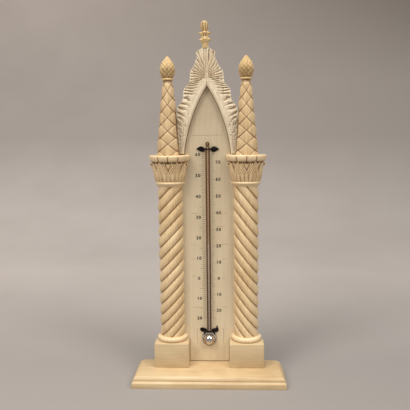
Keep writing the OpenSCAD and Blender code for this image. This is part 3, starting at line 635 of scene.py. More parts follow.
# A scroll: a strip that winds round its eye, wider as it goes
scrolls = []
scroll_x, scroll_r, strip_r, eye_r = 11.6, 1.25, 0.5, 0.42
for sign in (-1, 1):
    centre = Vector((-column_x + sign * scroll_x, plate_y - 3.0, bell_high - 2.1))
    deselect()
    bpy.ops.mesh.primitive_torus_add(
        major_radius=scroll_r * mm, minor_radius=strip_r * mm, major_segments=36, minor_segments=12
    )
    scroll = bpy.context.object
    for point in scroll.data.vertices:
        turn = math.atan2(point.co.y, point.co.x) / math.tau + 0.5
        point.co *= 0.82 + 0.34 * turn
        point.co.z *= 2.2
    bpy.ops.mesh.primitive_uv_sphere_add(segments=16, ring_count=10, radius=eye_r * mm)
    eye = bpy.context.object
    eye.scale.z = 2
    scroll = join([scroll, eye], "scroll")
    scroll.rotation_euler = (math.pi / 2, 0, math.radians(sign * 12))
    scroll.location = centre * mm
    bpy.ops.object.transform_apply(location=True, rotation=True)
    bpy.ops.object.shade_smooth()
    for point, note in noted(scroll):
        note.value = 1 - 0.95 * ramp((point.co / mm - centre).length, 0.75, 1.05)
    scrolls.append(scroll)
capital = join([capital, *scrolls], "capital_bell_left")
capital_bone = bone("capital_bone", (240, 212, 166), (220, 186, 136), (100, 66, 34), rough=0.44)
fit_pair(capital, capital_bone, "capital")


# The abaci: half discs that widen to a bright, rounded top edge. Their slanted sides are
# nicked into lobes, one every 30 degrees.
abacus_low, abacus_h, abacus_r, abacus_foot_r = bell_high, 4.5, 14.2, 12.7
abacus_steps = (
    (0, 0), (0.3, 0.06), (0.52, 0.14), (0.7, 0.24), (0.83, 0.36), (0.92, 0.48), (0.98, 0.6),
    (1, 0.7), (0.99, 0.78), (0.95, 0.85), (0.87, 0.91), (0.75, 0.96), (0.6, 1),
)
abacus_outline = [
    (abacus_foot_r + (abacus_r - abacus_foot_r) * out, abacus_low + abacus_h * up)
    for out, up in abacus_steps
]


def nicked(angle, height):
    t = (height - abacus_low) / abacus_h
    nick = max(0, 1 - abs((angle + 15) % 30 - 15) / 2.9) * (1 - 0.8 * ramp(t, 0.5, 0.95))
    return outline_reach(abacus_outline, height) - 0.85 * nick, nick + 0.4 * ramp(0.22 - t, 0, 0.2)


abacus_levels = [z for _, z in abacus_outline]
abacus = carved("abacus_ring_left", 480, abacus_levels, column_spot, nicked)
halved(abacus)
smooth(45)
fit_pair(abacus, warm_bone, "abacus")


# The spires: tapered towers of leaf scales that point up. They were cut with straight saw
# strokes from the front, so the scales stand evenly across the width. Each has fine
# hatching. Their backs are flat, and their inner sides are pared away beside the arch.
spire_low, spire_high, spire_set, spire_r, spire_top = 160.0, 210.6, 3.4, 8.7, 3.4
spire_spot = (-column_x, plate_y - spire_set)
scale_w, first_row, row_h = 1.48, 7.4, 8.9


def spire_cut(angle, height):
    """Scales stand where the two sets of slanted strokes, numbered outward and inward, cross."""
    t = (height - spire_low) / (spire_high - spire_low)
    reach = spire_top + (spire_r - spire_top) * (1 - t) ** 0.88
    run = abs(math.sin(math.radians(angle)))
    u = (run if abs(angle) <= 90 else 2 - run) / scale_w
    v = (height - spire_low - first_row) / row_h - 0.5
    outward, inward = u + v, u - v
    past_outward, past_inward = outward - round(outward), inward - round(inward)
    dv = (past_outward - past_inward) / 2
    # The strokes that fall outwards are deep, most of all at the sides, the others faint
    deep = ramp(0.1 - (0.5 - abs(past_outward)), 0, 0.08) * (0.55 + 0.45 * min(1, u / 0.6))
    faint = ramp(0.08 - (0.5 - abs(past_inward)), 0, 0.06) * 0.7
    hatch = abs(math.sin(math.pi * u * scale_w * 9))
    relief = 0.95 * (0.6 + 0.4 * (1 - t))
    tip = ramp(dv, -0.5, 0.42)
    out = relief * (0.3 + 0.7 * tip) - 0.45 * deep - 0.3 * faint + 0.1 * hatch
    fade = ramp(t, 1, 0.92)
    hollow = (0.95 * deep + 0.75 * faint + 0.2 * (1 - hatch) + 0.25 * (1 - tip)) * fade
    # Painted shadow: brown just under the collar, at the top of the spire
    return reach - relief + out * fade, min(1, max(hollow, 0.75 * ramp(t, 0.95, 0.985)))


# The arch's half width beside the spire, at some heights
arch_foot = [
    (19.0, spire_low), (19.55, 166), (20.2, 172.7), (20.8, 178.5), (21.1, 188.6), (21.1, 193.2),
]


def pared(piece):
    """Cuts a left spire back to its flat back and to the edge of the arch beside it, and paints shade in the
    gap beside the arch.
    """
    for point, note in noted(piece):
        x, y, z = point.co / mm
        for (x0, z0), (x1, z1) in zip(arch_foot, arch_foot[1:]):
            if z0 <= z <= z1:
                limit = -(x0 + (x1 - x0) * (z - z0) / (z1 - z0)) - 0.28
                point.co.x = min(x, limit) * mm
                # Painted shade in the gap beside the arch
                note.value = max(note.value, ramp(x, limit - 0.5, limit))
        point.co.y = min(y, plate_y) * mm


spire_levels = levels(spire_low, spire_high, 220)
spire = carved("scaled_spire_left", 240, spire_levels, spire_spot, spire_cut)
pared(spire)
spire_bone = bone("spire_bone", (238, 210, 164), (214, 181, 132), (116, 78, 40), pores=0.3)
fit_pair(spire, spire_bone, "spire")


# The collars: thin rings of yellower bone between spire and bud, turned full round. The
# peg of the bud passes through them into the spire.
collar_r, bud_low = 4.1, 212.1
collar_outline = bead_outline(collar_r, spire_high, bud_low)
collar = turned("bud_collar_left", 72, collar_outline, spire_spot)
smooth(40)
bud_bone = bone("bud_bone", (232, 202, 148), (204, 168, 110), (104, 72, 34), pores=0.3)
fit_pair(collar, bud_bone, "collar")


# The buds: cones of small pointed scales that close to a tip, yellower than the rest and
# browner between their lower scales.
bud_high, bud_r, bud_widest = 226.8, 5.4, 0.38
scales_round, scale_rise, scale_out = 9, 3.3, 1.15


def bud_scale(angle, height):
    """How far a scale stands out, and how deep the point lies, for scales that point up."""
    u, v = scales_round * angle / 360, height / scale_rise
    p, q = u + v, u - v
    du = (p - round(p) + q - round(q)) / 2
    dv = (p - round(p) - q + round(q)) / 2
    edge = 1 - 2 * (abs(du) + abs(dv))
    tucked = ramp(0.4 - edge, 0, 0.4) * ramp(-dv, 0.0, 0.12)
    rim = ramp(edge, 0, 0.16)
    keel = 1 - min(1, abs(du) * 4)
    out = scale_out * (0.2 + 0.8 * (dv + 0.5)) * (0.45 + 0.55 * rim) + 0.14 * keel
    return out, min(1, 0.95 * tucked + 0.45 * (1 - rim))


def bud_cut(angle, height):
    t = (height - bud_low) / (bud_high - bud_low)
    if t < bud_widest:
        reach = 3 + (bud_r - 3) * math.sqrt(1 - (1 - t / bud_widest) ** 2)
    else:
        reach = bud_r * math.cos(math.pi / 2 * (t - bud_widest) / 0.64) ** 0.9
    drift_round = 2.5 * noise.noise(Vector((angle / 30, height, 0)))
    out, hollow = bud_scale(angle + drift_round, height - bud_low)
    lower = ramp(t, 0.62, 0.3)
    return max(0.05, reach + (out - 1.1) * min(1, reach / 3)), min(1, hollow + 0.32 * lower)


bud_levels = levels(bud_low, bud_high, 90)
bud = carved("cone_bud_left", 144, bud_levels, spire_spot, bud_cut)
for point in bud.data.vertices:
    point.co.y = min(point.co.y, back * mm)
fit_pair(bud, bud_bone, "bud")


# The arch: two halves that meet over the point of the opening. Each has a plain rounded
# band beside the opening, then leaves whose ribs run up and out to a scalloped rim. It is
# whiter than the columns, with brown between the ribs, partly dirt and partly painted shade.
spring, opening_half, opening_rise, band_w = 150, 16.9, 57.2, 3.1
sweep_r = (opening_half**2 + opening_rise**2) / (2 * opening_half)


def opening(z, out=0):
    """Half width of the pointed opening at a height, let out by a distance."""
    root = math.sqrt(max(0, (sweep_r + out) ** 2 - (z - spring) ** 2))
    return max(0, opening_half - sweep_r + root)


def opening_top(out):
    return spring + math.sqrt((sweep_r + out) ** 2 - (sweep_r - opening_half) ** 2)


band_top = opening_top(band_w)
crocket = [Vector((11.3 + 4.75 * i, band_top + 4.4 - 12.1 * i)) for i in range(3)]
dip = [c + Vector((0.71, -8.35)) for c in crocket]


def softened(line):
    """Cuts the corners of a line back twice, so that it runs in soft curves."""
    for _ in range(2):
        inner = [p for a, b in zip(line, line[1:]) for p in (a.lerp(b, 0.25), a.lerp(b, 0.75))]
        line = [line[0], *inner[1:-1], line[-1]]
    return line


def along(line, share):
    """The point at a share of a line's length."""
    steps = [(b - a).length for a, b in zip(line, line[1:])]
    left = max(0, min(1, share)) * sum(steps)
    for start, end, step in zip(line, line[1:], steps):
        if left <= step:
            return start.lerp(end, left / step)
        left -= step
    return line[-1]


arch_low = spire_low
foot_x = opening(arch_low, band_w) - 0.35
edge_foot = [(0, 0), (0.6, 6), (1.25, 12.7), (1.85, 18.5)]
outer_edge = softened([
    *[Vector((foot_x + dx, arch_low + dz)) for dx, dz in edge_foot],
    crocket[2] + Vector((0.3, -4.3)), crocket[2], dip[1],
    crocket[1] + Vector((0.2, -4.1)), crocket[1], dip[0],
])
band_share = 0.34


def outward(angle=None):
    """Turns all faces outwards and leaves edit mode, smooth up to an angle if one is given."""
    bpy.ops.mesh.select_all(action="SELECT")
    bpy.ops.mesh.normals_make_consistent(inside=False)
    mode("OBJECT")
    if angle:
        smooth(angle)


def grid(name, columns, lines):
    """A flat grid primitive that goes from -1 to 1 both ways."""
    deselect()
    bpy.ops.mesh.primitive_grid_add(x_subdivisions=columns, y_subdivisions=lines, size=2)
    return named(name)


def relief_panel(name, columns, lines, lay):
    """A grid laid on the plate by lay(s, w), drawn forwards and carved. lay gives x and z,
    the height of the relief, and how deep the point lies. s runs along, w across."""
    piece = grid(name, columns, lines)
    laid = [lay((p.co.x + 1) / 2, (p.co.y + 1) / 2) for p in piece.data.vertices]
    for point, (x, z, _, _) in zip(piece.data.vertices, laid):
        point.co = (x * mm, plate_y * mm, z * mm)
    whole_mesh()
    grow(y=-1)
    mode("OBJECT")
    # Every point is known again by its place in whole micrometres
    cuts = {(round(x * 1e3), round(z * 1e3)): cut for x, z, *cut in laid}
    for point, note in noted(piece):
        key = (round(point.co.x / mm * 1e3), round(point.co.z / mm * 1e3))
        height, note.value = cuts.get(key, (1.5, 0.5))
        if point.co.y < (plate_y - 0.5) * mm:
            point.co.y = (plate_y - height) * mm
        else:
            # The side walls are painted dark: partly dirt, partly painted shade along the edges
            note.value = 0.9
    whole_mesh()
    bpy.ops.mesh.remove_doubles(threshold=0.001 * mm)
    outward(60)
    return piece


def scribbled(place):
    """How deep a point of the face lies in the short curls that the knife left there."""
    wander = noise.noise(Vector((place.x / 1.1, place.y / 1.1, 7)))
    return ramp(0.17 - abs(wander), 0, 0.16)


def leafwork(s, w):
    """The right half of the arch: s from its foot to its top, w from the opening out."""
    z = arch_low + (band_top - arch_low) * s
    z_in = arch_low + (opening_top(0) - arch_low) * s
    inner, band = Vector((opening(z_in), z_in)), Vector((opening(z, band_w), z))
    rim = along(outer_edge, s)
    scribble_deep = 0.25 + 0.75 * ramp(s, 0.6, 0.35)
    if w < band_share:
        place = inner.lerp(band, w / band_share)
        across = w / band_share
        scribble = scribbled(place) * scribble_deep * ramp(across, 0.1, 0.3)
        height = 3.2 - 0.7 * (1 - across) ** 5 - 0.3 * ramp(across, 0.5, 1) - 0.25 * scribble
        height -= 1.6 * ramp(0.014 - s, 0, 0.006)
        hollow = 0.1 * ramp(across, 0.8, 1) + 0.55 * scribble
        # Painted shadow at the very foot, where the arch stands on the abacus; the joint of the two halves
        # is dark
        hollow += 0.9 * ramp(0.018 - s, 0, 0.012) + 0.6 * ramp(0.5 - place.x, 0, 0.5)
        return place.x, place.y, height, min(1, hollow)
    v = (w - band_share) / (1 - band_share)
    room = (rim - band).length
    place = band.lerp(rim, v)
    # Broad ribs run up and out from the band, closer ones near the crest. They deepen
    # towards the rim. Low down they die away among short curls.
    close = max(0, s - 0.8)
    ribs = s * 14.5 + close * 8 + close * close * 30 - v * (1.3 + 2 * close)
    ribs += 0.45 * noise.noise(Vector((s * 12, v * 2, 1)))
    rib = abs(math.sin(math.pi * ribs))
    nerve = abs(math.sin(math.pi * (2 * ribs + v * 0.8)))
    scribble = scribbled(place) * scribble_deep
    outer_part = ramp(v, 0.04, 0.62) * (0.3 + 0.7 * ramp(s, 0.3, 0.55))
    rim_share = min(0.4, 0.8 / max(room, 0.5))
    rim_up = ramp(v, 1 - rim_share, 1 - rim_share * 0.45)
    valley = (1 - rib) ** 1.7
    height = 2.9 - 1.2 * valley * outer_part - 0.3 * (1 - nerve) ** 2 * outer_part - 0.3 * scribble
    height = height * (1 - rim_up) + rim_up * (2.85 - 0.2 * valley)
    near = min(1, room / 1.5)
    height = 2.6 * (1 - near) + height * near
    hollow = 0.8 * valley * outer_part + 0.25 * (1 - nerve) ** 2 * outer_part + 0.55 * scribble
    # Painted shadow at the very foot, as in the band
    hollow = hollow * (1 - 0.8 * rim_up) + 0.9 * ramp(0.018 - s, 0, 0.012)
    hollow += 0.6 * ramp(0.5 - place.x, 0, 0.5)
    # Painted shade in the gap beside the spire
    shade_beside_spire = ramp(v, 0.8, 0.95) * ramp(0.52 - s, 0, 0.06)
    return place.x, place.y, height, min(1, max(hollow, 0.9 * shade_beside_spire))


arch_bone = bone(
    "arch_bone", (238, 224, 196), (214, 194, 160), (132, 98, 62), rough=0.5, pores=0.4
)
arch_right = relief_panel("leafy_arch_right", 340, 64, leafwork)
arch_left = mirrored(arch_right, "leafy_arch_left")
fit(arch_left, arch_bone, "arch_left")
fit(arch_right, arch_bone, "arch_right")


# The crest: a palmette of ribs that spread like a fan from the point of the band, round an
# upright middle rib, and end in a scalloped rim.
crest_h = 19.3
crest_top = band_top + crest_h
crest_rim = [(8.4, 7.4), (7.3, 10.8), (5.7, 13.6), (6.9, 16.7), (4.2, 18.4), (2.3, crest_h)]
crest_half = softened(
    [dip[0], crocket[0] + Vector((0.1, -4.1)), crocket[0]]
    + [Vector((x, band_top + z)) for x, z in crest_rim]
)
crest_lean, lean_from = 0.039, 7


def leaning(point):
    """Moves a point to the left with its height and turns the top square to the lean."""
    up = max(0, point.y - band_top)
    turn = max(0, min(1, (up - lean_from) / lean_from))
    return Vector((point.x - crest_lean * up, point.y + crest_lean * turn * point.x))


other_half = [Vector((-p.x, p.y)) for p in reversed(crest_half)]
crest_edge = [leaning(p) for p in crest_half + other_half]
crest_heart = Vector((0, band_top))
fan = 9


def palmette(s, w):
    """s goes round the edge from the right foot to the left one, w from the heart out."""
    edge = along(crest_edge, s)
    arm = edge - crest_heart
    place = crest_heart + arm * w
    lean = abs(math.degrees(math.atan2(arm.x, arm.y)))
    ribs = fan * lean / 104 + 0.32 * noise.noise(Vector((lean / 16, w * 3.2, arm.x / 9)))
    rib = abs(math.cos(math.pi * ribs)) if lean > 4 else 1
    nerve = abs(math.cos(math.tau * ribs + 1.2 * w))
    rim_up = ramp(w, 1 - 1.0 / arm.length, 1 - 0.35 / arm.length)
    open_out = ramp(w, 0.06, 0.22)
    cut_deeper = ramp(noise.noise(Vector((lean / 13, w * 5, arm.x / 9 + 4))), -0.05, 0.3)
    height = 1.7 + 0.85 * rib**0.8 + 0.3 * nerve
    hollow = (0.4 + 0.6 * cut_deeper * ramp(w, 0.4, 0.6)) * (1 - rib) ** 1.3
    hollow = (hollow + 0.22 * (1 - nerve) ** 2) * open_out
    middle = place.x + crest_lean * max(0, place.y - band_top)
    stem = ramp(1.5 - abs(middle), 0, 0.35)
    reed = abs(math.cos(math.pi * middle / 0.9))
    height = max(height, stem * (2.55 + 0.5 * reed))
    hollow = hollow * (1 - stem) + stem * 0.45 * (1 - reed)
    height = height * open_out + 2.9 * (1 - open_out)
    height = height * (1 - rim_up) + rim_up * (2.8 - 0.2 * (1 - rib))
    hollow *= 1 - 0.85 * rim_up
    return place.x, place.y, min(3.15, height), min(1, hollow)


crest = relief_panel("palmette_crest", 420, 70, palmette)
fit(crest, arch_bone, "crest")


# The finial: a square-edged stem, two rows of crockets like a small cross, and a fluted
# bud, all cut from one yellow piece and pegged into the crest, whose lean it shares.
finial_low, finial_top, finial_y = crest_top, 250.0, plate_y - 1.6
# Share of the height, radius, how far the crockets stand out, depth of the flutes
finial_profile = [
    (0, 2.0, 0, 0), (0.18, 1.9, 0, 0), (0.25, 1.95, 0.4, 0), (0.31, 2.05, 0.92, 0),
    (0.35, 1.95, 0.4, 0), (0.43, 1.85, 0.12, 0), (0.5, 1.95, 0.5, 0), (0.555, 2.05, 1, 0),
    (0.59, 1.9, 0.4, 0), (0.62, 1.6, 0, 0), (0.66, 2.1, 0, 0.5), (0.73, 2.6, 0, 1),
    (0.8, 2.62, 0, 1), (0.9, 2.45, 0, 1), (0.96, 1.9, 0, 0.6), (1, 0.8, 0, 0),
]


def finial_cut(angle, height):
    t = (height - finial_low) / (finial_top - finial_low)
    for low, high in zip(finial_profile, finial_profile[1:]):
        if low[0] <= t <= high[0] + 1e-9:
            share = ramp(t, low[0], high[0])
            reach, leaf, flute = [a + (b - a) * share for a, b in zip(low[1:], high[1:])]
            break
    turn = math.radians(angle)
    square = 1 + 0.1 * math.cos(4 * turn) * (t < 0.24)
    wide = 4.5 - 1.1 * math.cos(turn) ** 2
    arm = abs(math.cos(2 * turn)) ** 3
    dent = 0.5 - 0.5 * math.cos(8 * turn)
    reed = ramp(0.26 - t, 0, 0.05) * dent
    eye = ramp(0.06 - abs(t - 0.46), 0, 0.05) * ramp(16 - abs(abs(angle) - 24), 0, 12)
    reach = reach * square + leaf * (wide - 2.05) * arm - flute * 0.5 * dent - 0.25 * reed - 0.5 * eye
    hollow = 0.9 * flute * dent + 0.35 * leaf * (1 - arm)
    hollow += 0.5 * ramp(0.05 - abs(t - 0.62), 0, 0.05)
    return reach, min(1, hollow + 0.45 * reed + eye)


finial_levels = levels(finial_low, finial_top, 110)
finial = carved("crocket_finial", 96, finial_levels, (0, finial_y), finial_cut)
seat = Vector((0, finial_y, finial_low)) * mm
aside = Vector((crest_lean * crest_h * mm, 0, 0))
tip_left = Matrix.Rotation(-math.atan(crest_lean), 4, "Y")
finial.data.transform(Matrix.Translation(seat - aside) @ tip_left @ Matrix.Translation(-seat))
fit(finial, bud_bone, "top_finial")


# The scale plate: a thin pointed sheet of bone, the palest and flattest piece. It carries
# the arch and both columns. A dark line, partly old glue and dirt and partly painted shade,
# runs where the arch stands on it, beside the plinths and along the foot of the plate.
hole_z = 26.6


def plate_skin():
    """Bone painted greyer and darker towards the point and warmer towards the foot: painted shade above,
    painted warm light from below.
    """
    finish = Finish("plate_bone")
    across, up = finish.along(0), finish.along(2)
    high = finish.between(up, 0.02, 0.19)
    grain = (1, 1, 0.03)
    mottle = finish.between(finish.cloud(30, 4, distortion=0.5), 0.3, 0.7)
    streak = finish.between(finish.cloud(500, 3, stretch=grain), 0.35, 0.65)
    fleck = finish.between(finish.cloud(1400, 2, stretch=(1, 1, 0.05)), 0.68, 0.8)
    # Painted shade and light: greyer and darker upwards, warmer towards the foot
    pale = finish.mix(high, (234, 217, 184), (204, 187, 157))
    deep = finish.mix(high, (214, 194, 159), (192, 174, 143))
    rubbed = finish.mix(mottle * 0.6 + streak * 0.4, pale, deep)
    # Painted shade: brown round the hole behind the bulb, where its wall lies in shade
    over = up - hole_z * mm
    away = (across * across + over * over) ** 0.5
    dirt_and_shade = finish.between(away, 0.0062, 0.0045)
    pitted = finish.mix(fleck * 0.3, rubbed, (150, 118, 80))
    color = finish.mix(dirt_and_shade * 0.75, pitted, (112, 78, 46))
    return finish.surface(color, 0.46 + streak * 0.1, streak - fleck, 0.04)


dress("scale_plate", plate_skin())


def ink(name, dark, faded):
    """Black or brown wax rubbed into engraved lines, partly worn out."""
    finish = Finish(name)
    worn = finish.between(finish.cloud(420, 3), 0.42, 0.7)
    color = finish.mix(worn, dark, faded)
    return finish.surface(color, 0.7, finish.cloud(2500, 2), 0.02)


# Painted shade and dirt: a dark strip laid in the corners along the opening, beside the plinths and at the
# foot of the plate
seam_shade_ink = ink("seam_dirt_and_shade", (98, 66, 38), (132, 96, 60))
seam_w, slip = 0.42, 0.02
seams = []
for sign in (-1, 1):
    seam = grid("arch_seam", 90, 1)
    for point in seam.data.vertices:
        z = arch_low + (opening_top(0) - arch_low) * (point.co.x + 1) / 2
        inward = 0.05 if point.co.y > 0 else seam_w
        x = max(0, opening(z) - inward)
        point.co = Vector((sign * x, plate_y - slip, z)) * mm
    seams.append(seam)
plinth_in = column_x - plinth_half
for x0, x1, high in (
    (-14.4, 14.4, step_high + 0.4), (-plinth_in, -14.15, plinth_high), (14.15, plinth_in, plinth_high),
):
    low_corner, high_corner = (x0, plate_y - slip, step_high), (x1, plate_y - 0.005, high)
    seams.append(block("foot_seam", low_corner, high_corner))
seam = join(seams, "seam_dirt_and_shade_line")
whole_mesh()
bpy.ops.mesh.remove_doubles(threshold=0.001 * mm)
grow(y=0.018)
outward()
fit(seam, seam_shade_ink)


# The scales: coarse degrees on the left and finer ones on the right, with one zero level.
# Each degree is a scored line filled with dark wax, longer at each five and ten.
zero_z, line_out = 71.3, 0.015
scale_ink = ink("scale_ink", (60, 40, 26), (118, 90, 60))


def score(name, x0, x1, z, thick, count=1, step=0):
    """A scored line as a slip of wax, repeated upwards by an array."""
    piece = block(name, (x0, plate_y - line_out, z - thick / 2), (x1, plate_y, z + thick / 2))
    if count > 1:
        offset = {"use_relative_offset": False, "use_constant_offset": True}
        offset["constant_offset_displace"] = (0, 0, step * mm)
        worked(piece, "ARRAY", count=count, **offset)
    return piece


left_step, right_step = 1.482, 1.19
marks = join(
    [
        score("left_degrees", -4.5, -2.4, zero_z - 20 * left_step, 0.17, 81, left_step),
        score("left_fives", -6.2, -4.4, zero_z - 15 * left_step, 0.18, 8, 10 * left_step),
        score("right_degrees", 2.4, 3.3, zero_z - 25 * right_step, 0.16, 101, right_step),
        score("right_fives", 3.2, 4.4, zero_z - 25 * right_step, 0.18, 21, 5 * right_step),
    ],
    "degree_marks",
)
fit(marks, scale_ink)


# The numerals: every ten degrees, small and widely set, struck into the plate and blacked
# with wax. They are plain figures without their signs.
numeral_h = 3.05


def numeral(text, x, z):
    """Plain figures with their middle at a point of the plate, made a mesh."""
    deselect()
    bpy.ops.object.text_add(rotation=(math.pi / 2, 0, 0))
    figure = bpy.context.object
    figure.data.body = text
    figure.data.size = numeral_h * mm
    figure.data.space_character = 1.25
    figure.data.align_x, figure.data.align_y = "CENTER", "CENTER"
    figure.data.offset = 0.13 * mm
    figure.data.extrude = 0.01 * mm
    figure.data.resolution_u = 3
    bpy.ops.object.convert(target="MESH")
    figure.location = Vector((x, plate_y - 0.012, z)) * mm
    bpy.ops.object.transform_apply(location=True, rotation=True)
    return figure


numeral_ink = ink("numeral_ink", (30, 20, 14), (88, 64, 44))
figures = [numeral(str(abs(d)), -7.0, zero_z + d * left_step) for d in range(-20, 61, 10)]
figures += [numeral(str(abs(d)), 7.1, zero_z + d * right_step) for d in range(-20, 71, 10)]
numerals = join(figures, "numerals")
fit(numerals, numeral_ink)


# The engraved rules: fine plain lines beside some degrees, at the head of the scale and on
# both sides of the bulb, fainter than the figures.
rule_ink = ink("rule_ink", (104, 78, 50), (150, 124, 88))
rules = [score("head_rule", -10.4, 10.6, 173.5, 0.16)]
for x0, x1, z in (
    (-12, -7, 118.6), (-12.6, -9.6, 96.2), (-12.8, -9.6, 85.6), (-12, -9.4, 73),
    (-11.5, -4.8, 49.9), (9.4, 13.6, 118.6), (6, 12, 109.4), (9.5, 13.8, 96.2),
    (9.4, 12.4, 85.6), (9.4, 12, 71.4), (9.6, 13.4, 50),
):
    rules.append(score("side_rule", x0, x1, z, 0.14))
for x in (-8.9, 10.2):
    rules.append(block("bulb_rule", (x - 0.08, plate_y - line_out, 21.6), (x + 0.08, plate_y, 34.4)))
rules = join(rules, "engraved_rules")
fit(rules, rule_ink)


# The tube: a thick drawn glass stem with a fine bore, a bulb blown on its foot and a nib
# drawn on its sealed end. Its sides are painted brown as painted shade, standing for how it
# bends what lies behind it.
def glass():
    """Clear old glass: see-through where it faces the eye, glossy, and painted dark at its sides as shade.
    """
    finish = Finish("stem_glass")
    facing = finish.node("ShaderNodeLayerWeight", inputs={"Blend": 0.5}, output=1)
    blown = finish.node("ShaderNodeAttribute", {"attribute_name": "hollow"}, output=2)
    empty = finish.between(finish.along(2), 0.09, 0.106)
    near, far = 0.02 - empty * 0.018, 0.15 - empty * 0.06
    stem_sides = finish.between(facing, near, far) - finish.between(facing, 0.3, 0.62) * 0.65
    sides = stem_sides * (1 - blown) + finish.between(facing, 0.42, 0.72) * blown
    seed = finish.between(finish.cloud(700, 2, stretch=(1, 1, 0.02)), 0.3, 0.7)
    # Painted shade: dark brown at the sides, lighter and wider above the mercury
    brown = finish.mix(empty, (62, 40, 24), (84, 56, 30))
    color = finish.mix(sides, (180, 150, 118), brown)
    alpha = 0.1 + empty * 0.14 + finish.between(facing, 0, 0.03) * 0.28 * (1 - blown)
    alpha = alpha - blown * 0.05 + sides * (0.62 - empty * 0.1)
    # Glass looks dark at its sides but throws hardly any shadow
    alpha = alpha * (1 - finish.node("ShaderNodeLightPath", output=1) * 0.7)
    gloss = {"Alpha": alpha, "IOR": 1.5, "Specular IOR Level": 0.3, "Coat Weight": 0.15}
    return finish.surface(color, 0.05 + seed * 0.05, seed, 0.01, gloss)


stem_y, stem_r, bulb_z, bulb_r = plate_y - 2.4, 1.75, hole_z, 4.45
bulb_end = bulb_z + 3.6
tube_profile = [
    (bulb_end, 2.62), (bulb_z + 4.2, 2.3), (bulb_z + 5.6, 1.9), (bulb_z + 8, stem_r), (150, stem_r),
    (165, stem_r), (165.7, 1.35), (166.0, 1.1), (166.4, 1.25), (167.2, 1.5), (168, 1.5),
    (168.8, 1.15), (169.2, 0.5),
]


def tube_cut(angle, height):
    if height < bulb_end:
        return math.sqrt(max(0, bulb_r**2 - (height - bulb_z) ** 2)), 1
    for (z0, r0), (z1, r1) in zip(tube_profile, tube_profile[1:]):
        if height <= z1:
            tint = ramp(bulb_z + 6 - height, 0, 2) - 0.6 * ramp(height, 165, 166)
            return r0 + (r1 - r0) * ramp(height, z0, z1), tint
    return 0.4, 0


bulb_levels = [bulb_z - bulb_r * math.cos(math.pi * i / 48) for i in range(1, 41)]
bulb_levels = [z for z in bulb_levels if z < bulb_end]
stem_levels = [bulb_end + 0.3 * i for i in range(18)] + levels(40, 164, 32)
tip_levels = levels(164.8, 169.2, 26)
tube = carved("blown_tube", 64, bulb_levels + stem_levels + tip_levels, (0, stem_y), tube_cut)
fit(tube, glass(), "glass_tube")


# The mercury: it fills the bulb and rises in the bore. Its top is a small cap that slides,
# and the thread under it stretches as the reading changes.
def quicksilver(name, rough, metal, bright, dull):
    """Liquid metal, bright, with a breath of haze."""
    finish = Finish(name)
    haze = finish.cloud(160, 2)
    color = finish.mix(haze, bright, dull)
    return finish.surface(color, rough + haze * 0.08, more={"Metallic": metal})


mercury = quicksilver("quicksilver", 0.06, 1.0, (230, 226, 220), (202, 198, 190))
# The glass magnifies what it holds, so pool and thread are drawn a little wider than they are
pool_r, bore_r, neck_z, level_z, cap_h = 3.95, 0.45, 31.1, 96.5, 1.0
pool_levels = [bulb_z - pool_r * math.cos(math.pi * i / 36) for i in range(1, 36)]
pool_levels = sorted(pool_levels + levels(30.4, neck_z, 4))


def pool_cut(angle, height):
    ball = math.sqrt(max(0, pool_r**2 - (height - bulb_z) ** 2))
    return max(ball, bore_r if height > bulb_z else 0), 0


pool = carved("mercury_pool", 64, pool_levels, (0, stem_y), pool_cut)
fit(pool, mercury, "mercury_bulb")
thread_levels = levels(neck_z, level_z - cap_h, 120)
thread = carved("mercury_column", 24, thread_levels, (0, stem_y), lambda angle, height: (bore_r, 0))
# Seen through the round stem the thread spreads its light, as if it were rough and pale
spread_mercury = quicksilver("quicksilver_thread", 0.36, 0.4, (246, 241, 236), (232, 226, 220))
thread.data.materials.append(spread_mercury)
thread_foot, thread_top = (0, stem_y * mm, neck_z * mm), (0, stem_y * mm, (level_z - cap_h) * mm)
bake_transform(thread, "root", "mercury_level", thread_foot, thread_top)
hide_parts("mercury_thread")
cap_levels = levels(level_z - cap_h, level_z - bore_r, 8)
cap_levels += [level_z - bore_r * (1 - math.sin(math.pi / 2 * i / 8)) for i in range(1, 8)]


def cap_cut(angle, height):
    rise = max(0, height - level_z + bore_r)
    return math.sqrt(max(0.0001, bore_r**2 - rise**2)), 0


cap = carved("mercury_top", 24, cap_levels, (0, stem_y), cap_cut)
fit(cap, spread_mercury, "mercury_cap", body="mercury_level")


# The clips: blackened straps over the stem. The upper one ends in two pointed leaves, the
# lower one in rounded lobes whose legs reach down to the bulb.
def blackened():
    """Brass under old black varnish, rubbed to brown on its ridges."""
    finish = Finish("black_brass")
    rub = finish.between(finish.cloud(520, 4), 0.5, 0.72)
    color = finish.mix(rub, (14, 10, 8), (46, 32, 22))
    dim = {"Specular IOR Level": 0.2}
    return finish.surface(color, 0.6 - rub * 0.1, finish.cloud(1400, 3), 0.05, dim)


leaf_thick, leaf_rim, leaf_dish, strap_thick, bow_share = 0.45, 0.3, 0.25, 0.4, 0.6


def leaf_end(outline, z, sign):
    """A leaf sawn from sheet: a filled circle primitive whose corners move to an outline on
    the plate, drawn forwards and dished. The outline starts and ends beside the stem."""
    points = softened([Vector(p) for p in outline])
    deselect()
    bpy.ops.mesh.primitive_circle_add(vertices=len(points), radius=1, fill_type="NGON")
    piece = bpy.context.object
    for vertex, point in zip(piece.data.vertices, points):
        vertex.co = Vector((sign * point.x, plate_y, z + point.y)) * mm
    whole_mesh()
    grow(y=-leaf_thick)
    bpy.ops.mesh.inset(thickness=leaf_rim * mm, depth=leaf_dish * mm)
    outward(40)
    return piece


